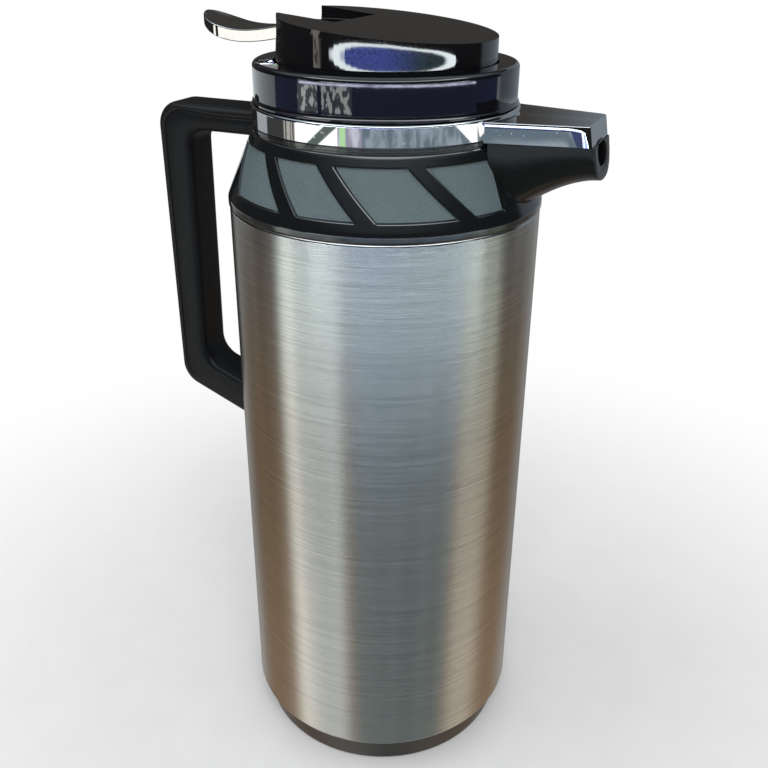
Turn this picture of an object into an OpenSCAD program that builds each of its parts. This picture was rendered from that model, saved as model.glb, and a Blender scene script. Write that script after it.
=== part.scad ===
// Thermal carafe: steel body over a glass vacuum flask, black shoulder collar with a
// pour spout and a side handle, and a lift-out stopper that a thumb lever opens.
// Millimetres. +Z is up, the origin is the centre of the base's underside, the spout
// points along +X and the handle along -X.

/* [Body] */
// Outer radius of the steel body at its foot
body_r = 60; // [56:0.5:72]
// How much the steel body narrows from foot to top, on the radius
body_draft = 0.4; // [0:0.1:1.5]
// Height of the steel body
shell_h = 230; // [200:5:280]
// Thickness of the steel
shell_wall = 0.6; // [0.4:0.1:1.2]
// Radius of the curled edge at both ends of the steel
shell_curl = 1.2; // [0.8:0.1:2]

/* [Base] */
// Height of the base cup that shows below the steel
base_h = 14; // [10:1:22]
// How far the foot lies inside the steel's outer radius
base_inset = 4.4; // [2:0.2:7]
// Radius of the foot's lower edge
base_edge = 2.6; // [1:0.2:4]
// Wall of the base cup
base_wall = 2.4; // [1.6:0.2:4]
// Height of the screw joint between the base cup and the body
base_joint_h = 9; // [6:1:14]
// Depth of the ring recess in the underside
base_recess = 0.8; // [0.4:0.1:1.4]

/* [Vacuum flask] */
// Air gap between the steel and the glass
flask_gap = 5.4; // [4.6:0.2:9]
// Thickness of each glass wall
glass_wall = 1.5; // [1:0.1:2.5]
// Vacuum space between the two glass walls
vacuum_gap = 3; // [2:0.5:5]
// Inner radius of the flask's neck
neck_bore_r = 19; // [17.5:0.5:21]
// Length of the flask's straight neck
flask_neck_h = 16; // [12:1:24]
// Height of the flask's shoulder
flask_shoulder_h = 30; // [24:1:40]
// Height of the flask's round bottom
flask_bottom_h = 27; // [18:1:36]
// Height of the flask's lowest point above the base's underside
flask_lift = 18; // [15:1:24]
// Length of the sealed tip under the flask
flask_tip_h = 4; // [3:0.5:6]

/* [Shoulder collar] */
// Height of the straight lip that stands on the steel
collar_lip_h = 2.6; // [1.5:0.1:4]
// Height of the sloping shoulder
cone_h = 24.4; // [20:0.5:32]
// Outer radius of the rim above the shoulder
rim_r = 49.6; // [47.5:0.2:52]
// Height of that rim
rim_h = 2.3; // [1.6:0.1:4]
// Wall of the collar
collar_wall = 3; // [2.4:0.1:3.4]
// Depth of the textured panels
panel_depth = 0.9; // [0.4:0.1:1.4]
// Turn of each rib from its foot back to its top, in degrees
rib_slant = 17; // [0:1:20]
// Width of a rib, in degrees
rib_w = 7; // [4:0.5:10]
// Width of the four panels' feet on each side, from the spout to the handle, in degrees
panel_w = [13, 28, 21, 28];
// Angle from the spout to the upright front edge of the first panel, in degrees
panel_start = 22; // [22:1:26]
// Distance of the panels from the shoulder's top and foot
panel_margin = 3.8; // [2:0.2:6]
// Wall of the well's neck, inside the chrome ring
neck_wall = 3.95; // [3.4:0.05:4.4]
// Width of the well's ledge, which carries the stopper
ledge_w = 5; // [4:0.5:7]
// Depth of the stopper's seat below the trim ring's top
ledge_drop = 12.5; // [11:0.5:14]
// Height of the wet chamber below that ledge
chamber_h = 13; // [12:0.5:16]

/* [Chrome trim] */
// Height of the chrome ring
trim_h = 7.2; // [6:0.2:10]
// Thickness of the chrome ring
trim_wall = 2.6; // [1.6:0.1:3]
// Thickness of the chrome spout cover
cover_wall = 1.6; // [1.2:0.1:2.2]
// Drop of the spout cover's top below the ring's top
cover_drop = 1; // [0.5:0.1:2]
// Height of the spout cover's sides
cover_h = 7; // [5:0.2:9]

/* [Spout] */
// Distance from the axis to the spout's upper tip
spout_reach = 79.2; // [74:0.5:92]
// Width of the spout where its sides meet the ring
spout_root_w = 41; // [36:0.5:46]
// Width of the spout at its tip
spout_tip_w = 26; // [22:0.5:30]
// Height of the spout's tip, cover included
spout_tip_h = 19.5; // [17:0.5:23]
// Lean of the spout's end face, in degrees
spout_end_lean = 10; // [0:1:15]
// Half the height of the pouring channel
channel_r = 4.6; // [3.8:0.1:4.8]
// Extra width of the pouring channel beyond a round bore
channel_extra = 3.6; // [0:0.2:6]

/* [Handle] */
// Distance from the axis to the handle's outer face
handle_reach = 98.3; // [92:0.5:110]
// Depth of the grip, from its outer face to its inner face
grip_t = 13; // [11:0.5:18]
// Width of the handle
handle_w = 18; // [16:0.5:24]
// Height of the top bar
bar_t = 13.5; // [11:0.5:16]
// Drop of the top bar below the trim ring's top
bar_drop = 2.5; // [1:0.5:4]
// Height from the lower arm's root to the top bar
grip_span = 134.6; // [115:1:160]
// Slope of the lower arm down towards the body, in degrees
arm_slope = 20; // [5:1:30]
// Thickness of the lower arm
arm_t = 13.8; // [11:0.2:18]
// Outer radius of the handle's upper corner
corner_r = 20; // [15:1:26]
// Outer radius of the handle's lower corner
heel_r = 10; // [8:1:16]
// Radius of the corners inside the finger gap
hole_r = 6; // [4:0.5:8]
// Depth of the outer cover strip
strip_t = 3; // [2:0.25:4.5]
// Rounding of the handle's long edges
edge_r = 3.6; // [2:0.2:5]
// Radius of a screw's shank
screw_r = 1.6; // [1.2:0.1:2]
// Length of a screw under its head
screw_len = 15; // [12:0.5:18]

/* [Stopper] */
// Outer radius of the stopper's tube
tube_r = 17.5; // [16.8:0.1:17.8]
// Wall of the stopper's tube
tube_wall = 2.5; // [1.8:0.1:3]
// Length of the tube below the stopper's deck
tube_h = 36; // [30:1:42]
// Thickness of the deck
deck_t = 2.5; // [2:0.1:3.5]
// Thickness of the gasket under the deck
gasket_t = 1.2; // [0.8:0.1:2]
// Radius of the valve opening in the tube's floor
valve_hole_r = 9; // [7:0.5:10]
// Radius of the valve stem
stem_r = 2.5; // [2:0.1:3]
// Height of the guide that the stem runs in, above the deck
guide_h = 8; // [6:0.5:10]

/* [Lock ring and cap] */
// How far the lock ring lies inside the chrome ring's outer face
ring_inset = 1.2; // [0.4:0.1:1.8]
// Height of the lock ring above the trim
ring_h = 14.2; // [12:0.2:17]
// Rounding of the lock ring's upper edge
ring_edge = 1.8; // [0.8:0.1:2.2]
// Wall of the lock ring
ring_wall = 2.2; // [1.6:0.1:2.6]
// Wall of the lock ring's skirt, between the well and the cap
skirt_wall = 1.7; // [1.5:0.1:2.4]
// Height of the cap above the lock ring, at the axis
cap_h = 12; // [11.5:0.1:14]
// Slope of the cap's top, down towards the spout, in degrees
cap_tilt = 5.4; // [2:0.2:6]
// Wall of the cap
cap_wall = 2; // [1.6:0.1:2.4]
// Width of the lever's slot in the cap
slot_w = 34; // [33:0.5:37]
// Distance from the axis to the slot's inner end
slot_end = 12; // [10:0.5:13]

/* [Thumb lever] */
// Distance from the axis to the lever's tip
lever_reach = 76.5; // [72:0.5:84]
// Width of the lever's thumb pad
pad_w = 22; // [18:0.5:24]
// Width of the lever in the cap's slot
lever_root_w = 30; // [28:0.5:31]
// Distance from the axis to the lever's pivot
pivot_x = 22; // [20:0.5:23]
// Height of the pivot above the lock ring's top
pivot_up = 3; // [2.6:0.1:3.4]
// Radius of the pivot pin
pin_r = 1.5; // [1.2:0.1:1.8]
// Travel of the lever, in degrees
lever_travel = 7.5; // [4:0.5:7.5]
// Height of the lever's skirt
skirt_h = 4.6; // [3.6:0.1:5]
// Depth of the thumb pad's dish
dish = 1.2; // [0:0.1:1.6]

/* [Fits] */
// Gap between pieces that move past each other
gap = 0.3; // [0.2:0.05:0.4]
// Gap on the radius between a pin or stem and its bore
run_fit = 0.06; // [0.03:0.01:0.1]
// Gap on the radius between fixed round pieces
seat_fit = 0.05; // [0.02:0.01:0.15]

/* [Hidden] */
$fn = 96;

// Heights of the stack, from the table up
shell_z = base_h;
shell_top = shell_z + shell_h;
cone_z = shell_top + collar_lip_h;
cone_top = cone_z + cone_h;
rim_top = cone_top + rim_h;
trim_top = rim_top + trim_h;
ledge_z = trim_top - ledge_drop;
chamber_z = ledge_z - chamber_h;
web_t = collar_wall;
web_z = chamber_z - web_t;
mouth_gasket_t = 2;
mouth_z = web_z - mouth_gasket_t;
ring_z = trim_top + gap;
ring_top = ring_z + ring_h;
deck_z = ledge_z + gap + gasket_t;
deck_top = deck_z + deck_t;
pivot_z = ring_top + pivot_up;

// Radii that follow from the body
shell_top_r = body_r - body_draft;
shell_in_r = shell_top_r - shell_wall;
spigot_r = shell_top_r - shell_curl - seat_fit;
flask_r = shell_in_r - flask_gap;
neck_wall_r = rim_r - trim_wall - seat_fit;
well_r = neck_wall_r - neck_wall;
chamber_r = well_r - ledge_w;
skirt_r = well_r - 0.4;
ring_in = skirt_r - skirt_wall;
ring_r = rim_r - ring_inset;
cap_r = ring_in - 0.5;
glass_step = glass_wall + vacuum_gap;
neck_out_r = neck_bore_r + glass_step + glass_wall;
base_joint_r = body_r - shell_wall - 3.4;

// Points on an arc about [x, y]
function arc(x, y, r, from, to, steps = 8) =
    [for (i = [0:steps]) let (a = from + (to - from) * i / steps) [x + r * cos(a), y + r * sin(a)]];

// Point on a cubic curve through four control points
function bezier(p, t) =
    pow(1 - t, 3) * p[0] + 3 * pow(1 - t, 2) * t * p[1] + 3 * (1 - t) * t * t * p[2] + pow(t, 3) * p[3];

function mix(a, b, t) = a + (b - a) * t;

// End face of a ring with hollows in its outline, cut in strips from each point of its
// first half to the point opposite it in the second
function strips(count, from, turned) = [for (j = [0:count / 2 - 2])
    let (q = [j, j + 1, count - 2 - j, count - 1 - j])
    [for (k = turned ? [3:-1:0] : [0:3]) from + q[k]]];

// Closed skin over a row of rings with equal numbers of points
module skin(rings, hollowed = false) {
    count = len(rings[0]);
    last = (len(rings) - 1) * count;
    points = [for (ring = rings) each ring];
    sides = [for (i = [0:len(rings) - 2], j = [0:count - 1])
        let (a = i * count + j, b = i * count + (j + 1) % count)
        each [[a, b, b + count], [a, b + count, a + count]]];
    first_end = hollowed ? strips(count, 0, true) : [[for (j = [count - 1:-1:0]) j]];
    last_end = hollowed ? strips(count, last, false) : [[for (j = [0:count - 1]) last + j]];
    polyhedron(points, concat(first_end, sides, last_end), convexity = 8);
}

// Ring of revolution with a rectangular section
module tube(outer, inner, z, h) {
    translate([0, 0, z]) difference() {
        cylinder(r = outer, h = h);
        translate([0, 0, -1]) cylinder(r = inner, h = h + 2);
    }
}

// ---- Base and steel body ----

module base_cup() {
    foot_r = body_r - base_inset;
    lip_r = body_r - 0.9;
    floor_t = base_wall + base_recess;
    spigot_top = base_h + base_joint_h - 1;
    color("#17181a") difference() {
        rotate_extrude() polygon(concat(
            [[0, 0]],
            arc(foot_r - base_edge, base_edge, base_edge, -90, -12, 6),
            [[lip_r, base_h], [base_joint_r, base_h], [base_joint_r, spigot_top],
             [base_joint_r - base_wall, spigot_top], [base_joint_r - base_wall, floor_t + 3],
             [base_joint_r - base_wall - 3, floor_t], [0, floor_t]]));
        tube(foot_r - base_edge - 6, 22, -1, base_recess + 1);
    }
    // Socket that the flask's cushion stands in
    color("#17181a") tube(cushion_r + seat_fit + base_wall, cushion_r + seat_fit, floor_t - 0.01, 4);
}

// Threaded ring fixed inside the steel's lower end
module base_ring() {
    low = shell_z + shell_wall + seat_fit;
    ring_out = body_r - body_draft * (base_joint_h / shell_h) - shell_wall - seat_fit;
    top = shell_z + base_joint_h + 1;
    edge = 0.8;
    color("#26282b") rotate_extrude() polygon([
        [base_joint_r + seat_fit, low], [ring_out - shell_curl, low],
        [ring_out, shell_z + shell_wall + shell_curl], [ring_out, top - edge], [ring_out - edge, top],
        [base_joint_r + edge, top], [base_joint_r + seat_fit, top - edge]]);
}

cushion_r = 20;

module flask_cushion() {
    floor_z = base_wall + base_recess;
    color("#5b5f63") difference() {
        translate([0, 0, floor_z]) cylinder(r = cushion_r, h = flask_lift - floor_z + 1.6);
        rotate_extrude() polygon(concat(flask_outline(0, mouth_z), [[0, mouth_z]]));
        translate([0, 0, floor_z + 1.5]) cylinder(r = 6, h = flask_lift);
    }
}

module steel_shell() {
    curl_in = shell_curl;
    wall = shell_wall;
    outer = concat(
        arc(body_r - curl_in, shell_z + curl_in, curl_in, -90, 0, 5),
        arc(shell_top_r - curl_in, shell_top - curl_in, curl_in, 0, 90, 5));
    inner = concat(
        arc(shell_top_r - curl_in, shell_top - curl_in, curl_in - wall, 90, 0, 5),
        arc(body_r - curl_in, shell_z + curl_in, curl_in - wall, 0, -90, 5));
    color("#c4c6c8") difference() {
        rotate_extrude($fn = 128) polygon(concat(outer, inner));
        translate([-body_r - 5, 0, arm_screw_z]) rotate([0, 90, 0]) cylinder(r = screw_r + 0.4, h = 12);
    }
}

// ---- Glass vacuum flask ----

// Outline of the flask on one side of its axis, moved inwards by inset, up to height top
function flask_outline(inset, top) =
    let (straight = flask_lift + flask_bottom_h, low = flask_lift + inset,
         neck_z = mouth_z - flask_neck_h, shoulder_z = neck_z - flask_shoulder_h)
    concat(
        [for (i = [0:10]) let (a = -90 + 9 * i)
            [(flask_r - inset) * cos(a), straight + (straight - low) * sin(a)]],
        [for (i = [0:12]) let (s = (1 - cos(15 * i)) / 2)
            [mix(flask_r, neck_out_r, s) - inset, mix(shoulder_z, neck_z, i / 12)]],
        [[neck_out_r - inset, top]]);

function backwards(list) = [for (i = [len(list) - 1:-1:0]) list[i]];

module flask_outer() {
    top = mouth_z - glass_wall;
    color("#c9d2d8") union() {
        rotate_extrude() polygon(concat(flask_outline(0, top), backwards(flask_outline(glass_wall, top))));
        // Sealed tip where the air was drawn out
        translate([0, 0, flask_lift - flask_tip_h]) cylinder(r1 = 2, r2 = 4, h = flask_tip_h + 0.6);
    }
}

module flask_inner() {
    color("#d5dce0") rotate_extrude() polygon(concat(
        flask_outline(glass_step, mouth_z - glass_wall),
        [[neck_out_r, mouth_z - glass_wall], [neck_out_r, mouth_z]],
        backwards(flask_outline(glass_step + glass_wall, mouth_z))));
}

module mouth_gasket() {
    color("#ded9cf") tube(neck_out_r, neck_bore_r + 0.5, mouth_z, mouth_gasket_t);
}

// ---- Shoulder collar ----

// Radius of the shoulder's slope at height z
function slope_r(z) = mix(body_r, rim_r, (z - cone_z) / cone_h);

cone_angle = atan2(body_r - rim_r, cone_h);
// Steps across and down from a point on the slope to the wall's inner face
wall_in = collar_wall / cos(cone_angle);

// One sunken panel, whose foot and top run from the first to the second angle of each pair
module panel_cut(foot, top) {
    mid = (foot[0] + foot[1] + top[0] + top[1]) / 4;
    low = cone_z + panel_margin;
    high = cone_top - panel_margin;
    function side(angle, z) = slope_r(z) * sin(angle - mid);
    intersection() {
        rotate_extrude() polygon([
            [slope_r(low) - panel_depth, low], [slope_r(low) + 6, low],
            [slope_r(high) + 6, high], [slope_r(high) - panel_depth, high]]);
        rotate([0, 0, mid]) rotate([90, 0, 90]) linear_extrude(height = 2 * body_r) polygon([
            [side(foot[0], low), low], [side(foot[1], low), low],
            [side(top[1], high), high], [side(top[0], high), high]]);
    }
}

// Foot angle of panel i, counted from the spout
function panel_from(i) = i == 0 ? panel_start : panel_from(i - 1) + panel_w[i - 1] + rib_w;

module panel_cuts() {
    for (i = [0:len(panel_w) - 1]) let (from = panel_from(i), to = from + panel_w[i])
        panel_cut([from, to], [from + (i == 0 ? 0 : rib_slant), to + rib_slant]);
}

boss_x = rim_r + 4.4;
bar_top = trim_top - bar_drop;
bar_low = bar_top - bar_t;
boss_screw_z = ledge_z + 3.6;
boss_screw_y = 4.8;
screw_seat_r = well_r + 2.6;
shelf_z = ledge_z - collar_wall;
duct_wall = 1.6;

module shoulder_collar() {
    groove = 0.5;
    spigot_h = 8;
    spigot_in_r = spigot_r - 1.8;
    bore_r = neck_wall_r + seat_fit;
    color("#1b1c1e") difference() {
        union() {
            rotate_extrude() polygon([
                [bore_r, shell_top - spigot_h], [spigot_r, shell_top - spigot_h], [spigot_r, shell_top],
                [body_r, shell_top], [body_r, cone_z], [rim_r, cone_top], [rim_r - groove, cone_top],
                [rim_r - groove, cone_top + groove], [rim_r, cone_top + groove], [rim_r, rim_top],
                [bore_r, rim_top]]);
            // Seat for the end of the handle's top bar
            translate([-boss_x, -handle_w / 2, bar_low - 1.5]) cube([boss_x - bore_r, handle_w, bar_t + 1]);
        }
        // Hollow inside, up to the shelf that holds the stopper well down
        rotate_extrude() polygon([
            [0, shell_top - spigot_h - 1], [spigot_in_r, shell_top - spigot_h - 1], [spigot_in_r, cone_z - 1.5],
            [body_r - wall_in, cone_z], [slope_r(shelf_z) - wall_in, shelf_z], [0, shelf_z]]);
        translate([0, 0, rim_top]) cylinder(r = rim_r + seat_fit, h = trim_h);
        panel_cuts();
        mirror([0, 1, 0]) panel_cuts();
        channel_cut(neck_wall_r - 2, body_r + 4, duct_wall + seat_fit);
        handle_screw_holes();
    }
}

module handle_screw_holes() {
    for (y = [-boss_screw_y, boss_screw_y]) translate([0, y, boss_screw_z]) rotate([0, -90, 0])
        cylinder(r = screw_r + seat_fit, h = boss_x + 1);
}

// ---- Stopper well ----

// Neck, ledge and wet chamber in one cup. Its flange bears on the collar's shelf from below.
module stopper_well() {
    flange_r = neck_wall_r + 1.5;
    flange_z = shelf_z - 2;
    floor_r = neck_bore_r + 0.5;
    color("#232427") difference() {
        union() {
            rotate_extrude() polygon([
                [well_r, trim_top - gap], [well_r, ledge_z], [chamber_r, ledge_z], [chamber_r, chamber_z],
                [floor_r, chamber_z], [floor_r, web_z], [chamber_r + collar_wall, web_z],
                [chamber_r + collar_wall, flange_z], [flange_r, flange_z], [flange_r, shelf_z - seat_fit],
                [neck_wall_r, shelf_z - seat_fit], [neck_wall_r, trim_top - gap]]);
            // Duct from the chamber to the spout's tail
            intersection() {
                channel_cut(chamber_r, body_r, duct_wall);
                translate([0, 0, web_z]) cylinder(r = neck_wall_r, h = ledge_z + 4 - web_z);
            }
        }
        translate([0, 0, chamber_z]) cylinder(r = chamber_r, h = chamber_h + 1);
        translate([0, 0, ledge_z]) cylinder(r = well_r, h = ledge_drop + 1);
        channel_cut(chamber_r - 4, body_r);
        difference() {
            channel_cut(neck_wall_r - 2, body_r, duct_wall + seat_fit);
            translate([0, 0, web_z]) cylinder(r = neck_wall_r + seat_fit / 2, h = 2 * chamber_h);
        }
        handle_screw_holes();
        for (y = [-boss_screw_y, boss_screw_y]) translate([0, y, boss_screw_z]) rotate([0, -90, 0])
            cylinder(r = 2 * screw_r + 0.3, h = screw_seat_r);
    }
}

// ---- Spout ----

cover_top = trim_top - cover_drop;
cover_low = cover_top - cover_h;
spout_low = cover_top - spout_tip_h;
channel_tip_z = spout_low + 2.2 + 2 + channel_r;
channel_root_z = chamber_z + channel_r + 1;
channel_rise = atan2(channel_tip_z - channel_root_z, spout_reach - chamber_r);
spout_foot_x = body_r - 5.5;
spout_root_x = rim_r - 5.6;

// Half the spout's width at distance x from the axis
function spout_half(x) =
    mix(spout_root_w, spout_tip_w, (x - spout_root_x) / (spout_reach - spout_root_x)) / 2;

// Height of the spout's keel at distance x, hollow-curved from the collar's lip to the tip
function keel_z(x) =
    let (t = max(0, (x - spout_foot_x) / (spout_reach + 3 - spout_foot_x)))
    mix(cone_z, spout_low, 1 - pow(1 - min(1, t), 1.7));

// Pouring channel, a flattened bore that rises from the chamber to the spout's mouth;
// wall is added all round it for the duct
module channel_cut(from, to, wall = 0) {
    r = channel_r + wall;
    translate([chamber_r, 0, channel_root_z]) rotate([0, 90 - channel_rise, 0])
        translate([0, 0, from - chamber_r]) {
            for (y = [-channel_extra / 2, channel_extra / 2])
                translate([0, y, 0]) cylinder(r = r, h = to - from, $fn = 48);
            translate([-r, -channel_extra / 2, 0]) cube([2 * r, channel_extra, to - from]);
        }
}

// Half space in front of the spout's leaning end face
module past_end(extra) {
    translate([spout_reach + extra, 0, cover_top]) rotate([0, -spout_end_lean, 0])
        translate([0, -spout_root_w, -3 * spout_tip_h])
            cube([2 * spout_tip_h, 2 * spout_root_w, 4 * spout_tip_h]);
}

// Solid inside the shoulder's outer face, grown by the fit
module inside_slope() {
    rotate_extrude() polygon([[0, shell_top], [body_r + seat_fit, shell_top], [body_r + seat_fit, cone_z],
        [rim_r + seat_fit, cone_top], [rim_r + seat_fit, rim_top], [0, rim_top]]);
}

module pour_spout() {
    steps = 9;
    arc_steps = 14;
    bulge = 2 / 2.7;
    start_x = rim_r - 3;
    end_x = spout_reach + 8;
    rings = [for (i = [0:steps]) let (x = mix(start_x, end_x, i / steps), half = spout_half(x), low = keel_z(x))
        [for (j = [0:arc_steps]) let (a = 180 * j / arc_steps, c = cos(a))
            [x, half * sign(c) * pow(abs(c), bulge), cover_low - (cover_low - low) * pow(sin(a), bulge)]]];
    inner = cover_wall + seat_fit;
    color("#1b1c1e") difference() {
        union() {
            difference() {
                union() {
                    skin(rings);
                    translate([0, 0, cover_low - 0.01]) linear_extrude(height = cover_h - inner) polygon([
                        [rim_r - 2, spout_half(rim_r - 2) - inner], [rim_r - 2, inner - spout_half(rim_r - 2)],
                        [end_x, inner - spout_half(end_x)], [end_x, spout_half(end_x) - inner]]);
                }
                past_end(0.4);
                intersection() {
                    past_end(-inner);
                    translate([0, -spout_root_w, cover_low])
                        cube([2 * spout_reach, 2 * spout_root_w, cover_h]);
                }
                inside_slope();
                translate([0, 0, rim_top - 1]) cylinder(r = rim_r + seat_fit, h = trim_h + 2);
            }
            // Tail that passes through the collar to the well's duct
            difference() {
                channel_cut(neck_wall_r - 2, body_r, duct_wall);
                translate([0, 0, web_z]) cylinder(r = neck_wall_r + seat_fit, h = 2 * chamber_h);
            }
        }
        channel_cut(chamber_r, spout_reach + 12);
    }
}

// Plan of the spout's chrome cover, drawn in by inset
module cover_plan(inset) {
    half_root = spout_half(rim_r - 6) - inset;
    half_tip = spout_half(spout_reach + 8) - inset;
    polygon([[rim_r - 6, -half_root], [spout_reach + 8, -half_tip], [spout_reach + 8, half_tip],
        [rim_r - 6, half_root]]);
}

module chrome_trim() {
    edge = 0.8;
    color("#d9dcdf") difference() {
        union() {
            rotate_extrude() polygon(concat(
                [[rim_r - trim_wall, rim_top], [rim_r, rim_top]],
                arc(rim_r - edge, trim_top - edge, edge, 0, 90, 4),
                [[rim_r - trim_wall, trim_top]]));
            difference() {
                translate([0, 0, cover_low]) linear_extrude(height = cover_h) cover_plan(0);
                difference() {
                    translate([0, 0, cover_low - 1]) linear_extrude(height = cover_h - cover_wall + 1)
                        cover_plan(cover_wall);
                    past_end(-cover_wall);
                }
                past_end(0);
                translate([0, 0, cover_low - 1]) cylinder(r = rim_r + seat_fit, h = rim_top - cover_low + 1);
            }
        }
        translate([0, 0, cover_low - 1]) cylinder(r = rim_r - trim_wall, h = 2 * trim_h);
        channel_cut(spout_reach - 6, spout_reach + 12);
    }
}

// ---- Handle ----

handle_x = -handle_reach;
grip_in_x = handle_x + grip_t;
arm_bottom_z = bar_top - grip_span - arm_t / 2 / cos(arm_slope);
arm_root_z = arm_bottom_z + arm_t / 2 / cos(arm_slope);
slope_tan = tan(arm_slope);

// Height of the lower arm's lower face at x, straight down towards the body
function arm_low(x) = arm_bottom_z + (-body_r - x) * slope_tan;
function arm_high(x) = arm_low(x) + arm_t / cos(arm_slope);

heel_turn = 90 - arm_slope;
heel_start_z = arm_low(handle_x) + heel_r * tan(heel_turn / 2);
notch_start_z = arm_high(grip_in_x) + hole_r * tan(heel_turn / 2);

// Outer and inner outlines in the XZ plane, in step with each other. The strip ends one
// station before the grip, just outside the body.
strip_end_x = -body_r - 0.1;
grip_end_x = -body_r + 4;
outer_line = concat(
    [[-boss_x, bar_top]],
    arc(handle_x + corner_r, bar_top - corner_r, corner_r, 90, 180, 8),
    arc(handle_x + heel_r, heel_start_z, heel_r, 180, 180 + heel_turn, 7),
    [for (x = [strip_end_x, grip_end_x]) [x, arm_low(x)]]);
inner_line = concat(
    [[-boss_x, bar_low]],
    arc(grip_in_x + hole_r, bar_low - hole_r, hole_r, 90, 180, 8),
    arc(grip_in_x + hole_r, notch_start_z, hole_r, 180, 180 + heel_turn, 7),
    [for (x = [strip_end_x, grip_end_x]) [x, arm_high(x)]]);

// Rounded edge as [depth, side] pairs, from the side face round to the outer face
function edge_round(deep, half) =
    [for (a = [0:18:90]) [deep * (1 - sin(a)), half - edge_r * (1 - cos(a))]];
function other_side(points) = [for (p = backwards(points)) [p[0], -p[1]]];

// Half sections as [depth, side], where depth counts from the handle's outer face.
// A small bevel on both pieces makes the groove along their parting line.
bevel = 0.5;
function strip_half(half) =
    concat([[strip_t, half - bevel], [strip_t - bevel, half]], edge_round(strip_t - 2 * bevel, half));
function grip_half(half, depth) =
    concat([for (p = backwards(edge_round(edge_r, half))) [depth - p[0], p[1]]],
        [[strip_t + bevel, half], [strip_t, half - bevel]]);

function strip_section(half, depth) = concat(strip_half(half), other_side(strip_half(half)));
function grip_section(half, depth) = concat(other_side(grip_half(half, depth)), grip_half(half, depth));

// Rings of the outer strip, or of the grip behind it, carried along the handle
function handle_rings(is_strip) = [for (i = [0:len(outer_line) - (is_strip ? 2 : 1)])
    let (o = outer_line[i], d = inner_line[i] - o, depth = norm(d), u = d / depth, half = handle_w / 2)
    [for (p = is_strip ? strip_section(half, depth) : grip_section(half, depth))
        [o[0] + u[0] * p[0], p[1], o[1] + u[1] * p[0]]]];

module handle_grip() {
    color("#202226") difference() {
        skin(handle_rings(false));
        translate([0, 0, shell_z]) cylinder(r = body_r + seat_fit, h = shell_h, $fn = 128);
        for (y = [-boss_screw_y, boss_screw_y]) screw_hole(y, boss_screw_z, well_r);
        screw_hole(0, arm_screw_z, plate_in_r);
    }
}

module handle_cover() {
    color("#25272b") skin(handle_rings(true));
}

plate_in_r = shell_in_r - 1.4;
arm_screw_z = arm_root_z + 3;
// Flat seat of the screw's head on the plate's curved inner face
plate_seat_r = sqrt(plate_in_r * plate_in_r - 4 * screw_r * screw_r);

// Blind hole for a screw that points along -X from radius r
module screw_hole(y, z, r) {
    translate([-r, y, z]) rotate([0, -90, 0]) cylinder(r = screw_r + seat_fit, h = screw_len + 4);
}

module handle_backplate() {
    color("#9a9da0") difference() {
        intersection() {
            tube(shell_in_r - seat_fit, plate_in_r, arm_screw_z - 9, 18);
            translate([-body_r, -11, arm_screw_z - 9]) cube([12, 22, 18]);
        }
        screw_hole(0, arm_screw_z, plate_in_r - 2);
    }
}

// Pan-head screw with its seat at the origin and its point along +Z
module screw(length) {
    cylinder(r = screw_r, h = length - 1.6);
    translate([0, 0, length - 1.6]) cylinder(r1 = screw_r, r2 = 0.4, h = 1.6);
    difference() {
        translate([0, 0, -1.8]) cylinder(r = 1.85 * screw_r, h = 1.8);
        for (a = [0, 90]) rotate([0, 0, a]) translate([-1.3, -0.35, -2]) cube([2.6, 0.7, 1]);
    }
}

module handle_screws() {
    color("#a6a9ac") {
        for (y = [-boss_screw_y, boss_screw_y])
            translate([-screw_seat_r, y, boss_screw_z]) rotate([0, -90, 0]) screw(screw_len);
        translate([-plate_seat_r, 0, arm_screw_z]) rotate([0, -90, 0]) screw(screw_len);
    }
}

// ---- Stopper ----

tube_in_r = tube_r - tube_wall;
tube_low = deck_z - tube_h;
deck_r = well_r - 2 * gap;
guide_r = stem_r + 3.4;
valve_floor_t = 2;

module stopper_body() {
    bore = stem_r + run_fit;
    color("#2a2c30") difference() {
        union() {
            rotate_extrude() polygon([
                [bore, deck_z], [tube_in_r, deck_z], [tube_in_r, tube_low + valve_floor_t],
                [valve_hole_r + 1, tube_low + valve_floor_t], [valve_hole_r, tube_low + valve_floor_t - 1],
                [valve_hole_r, tube_low], [tube_r - 1.5, tube_low], [tube_r, tube_low + 1.5],
                [tube_r, seal_z], [tube_r - seal_bite, seal_z], [tube_r - seal_bite, seal_z + seal_h],
                [tube_r, seal_z + seal_h], [tube_r, deck_z], [deck_r, deck_z], [deck_r, deck_top],
                [guide_r, deck_top], [guide_r, deck_top + guide_h], [bore, deck_top + guide_h]]);
            // Posts that the lever bracket is screwed to
            for (y = [-bracket_screw_y, bracket_screw_y])
                translate([-pivot_x, y, deck_top]) cylinder(r = 3.6, h = post_h);
        }
        // Port that lets the liquid out towards the spout
        translate([0, 0, channel_root_z]) rotate([0, 90, 0]) cylinder(r = channel_r, h = tube_r + 2, $fn = 48);
        // Recess for the stem's seal
        translate([0, 0, deck_top + guide_h - 2]) cylinder(r = stem_r + 1.5, h = 3);
        for (y = [-bracket_screw_y, bracket_screw_y])
            translate([-pivot_x, y, deck_top + post_h - 7]) cylinder(r = small_screw_r + seat_fit, h = 8);
    }
}

module stopper_gasket() {
    color("#d8d3c8") tube(deck_r, chamber_r + 0.5, ledge_z + gap, gasket_t);
}

seal_h = 4;
seal_bite = 1;
seal_z = mouth_z - 12;

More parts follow.
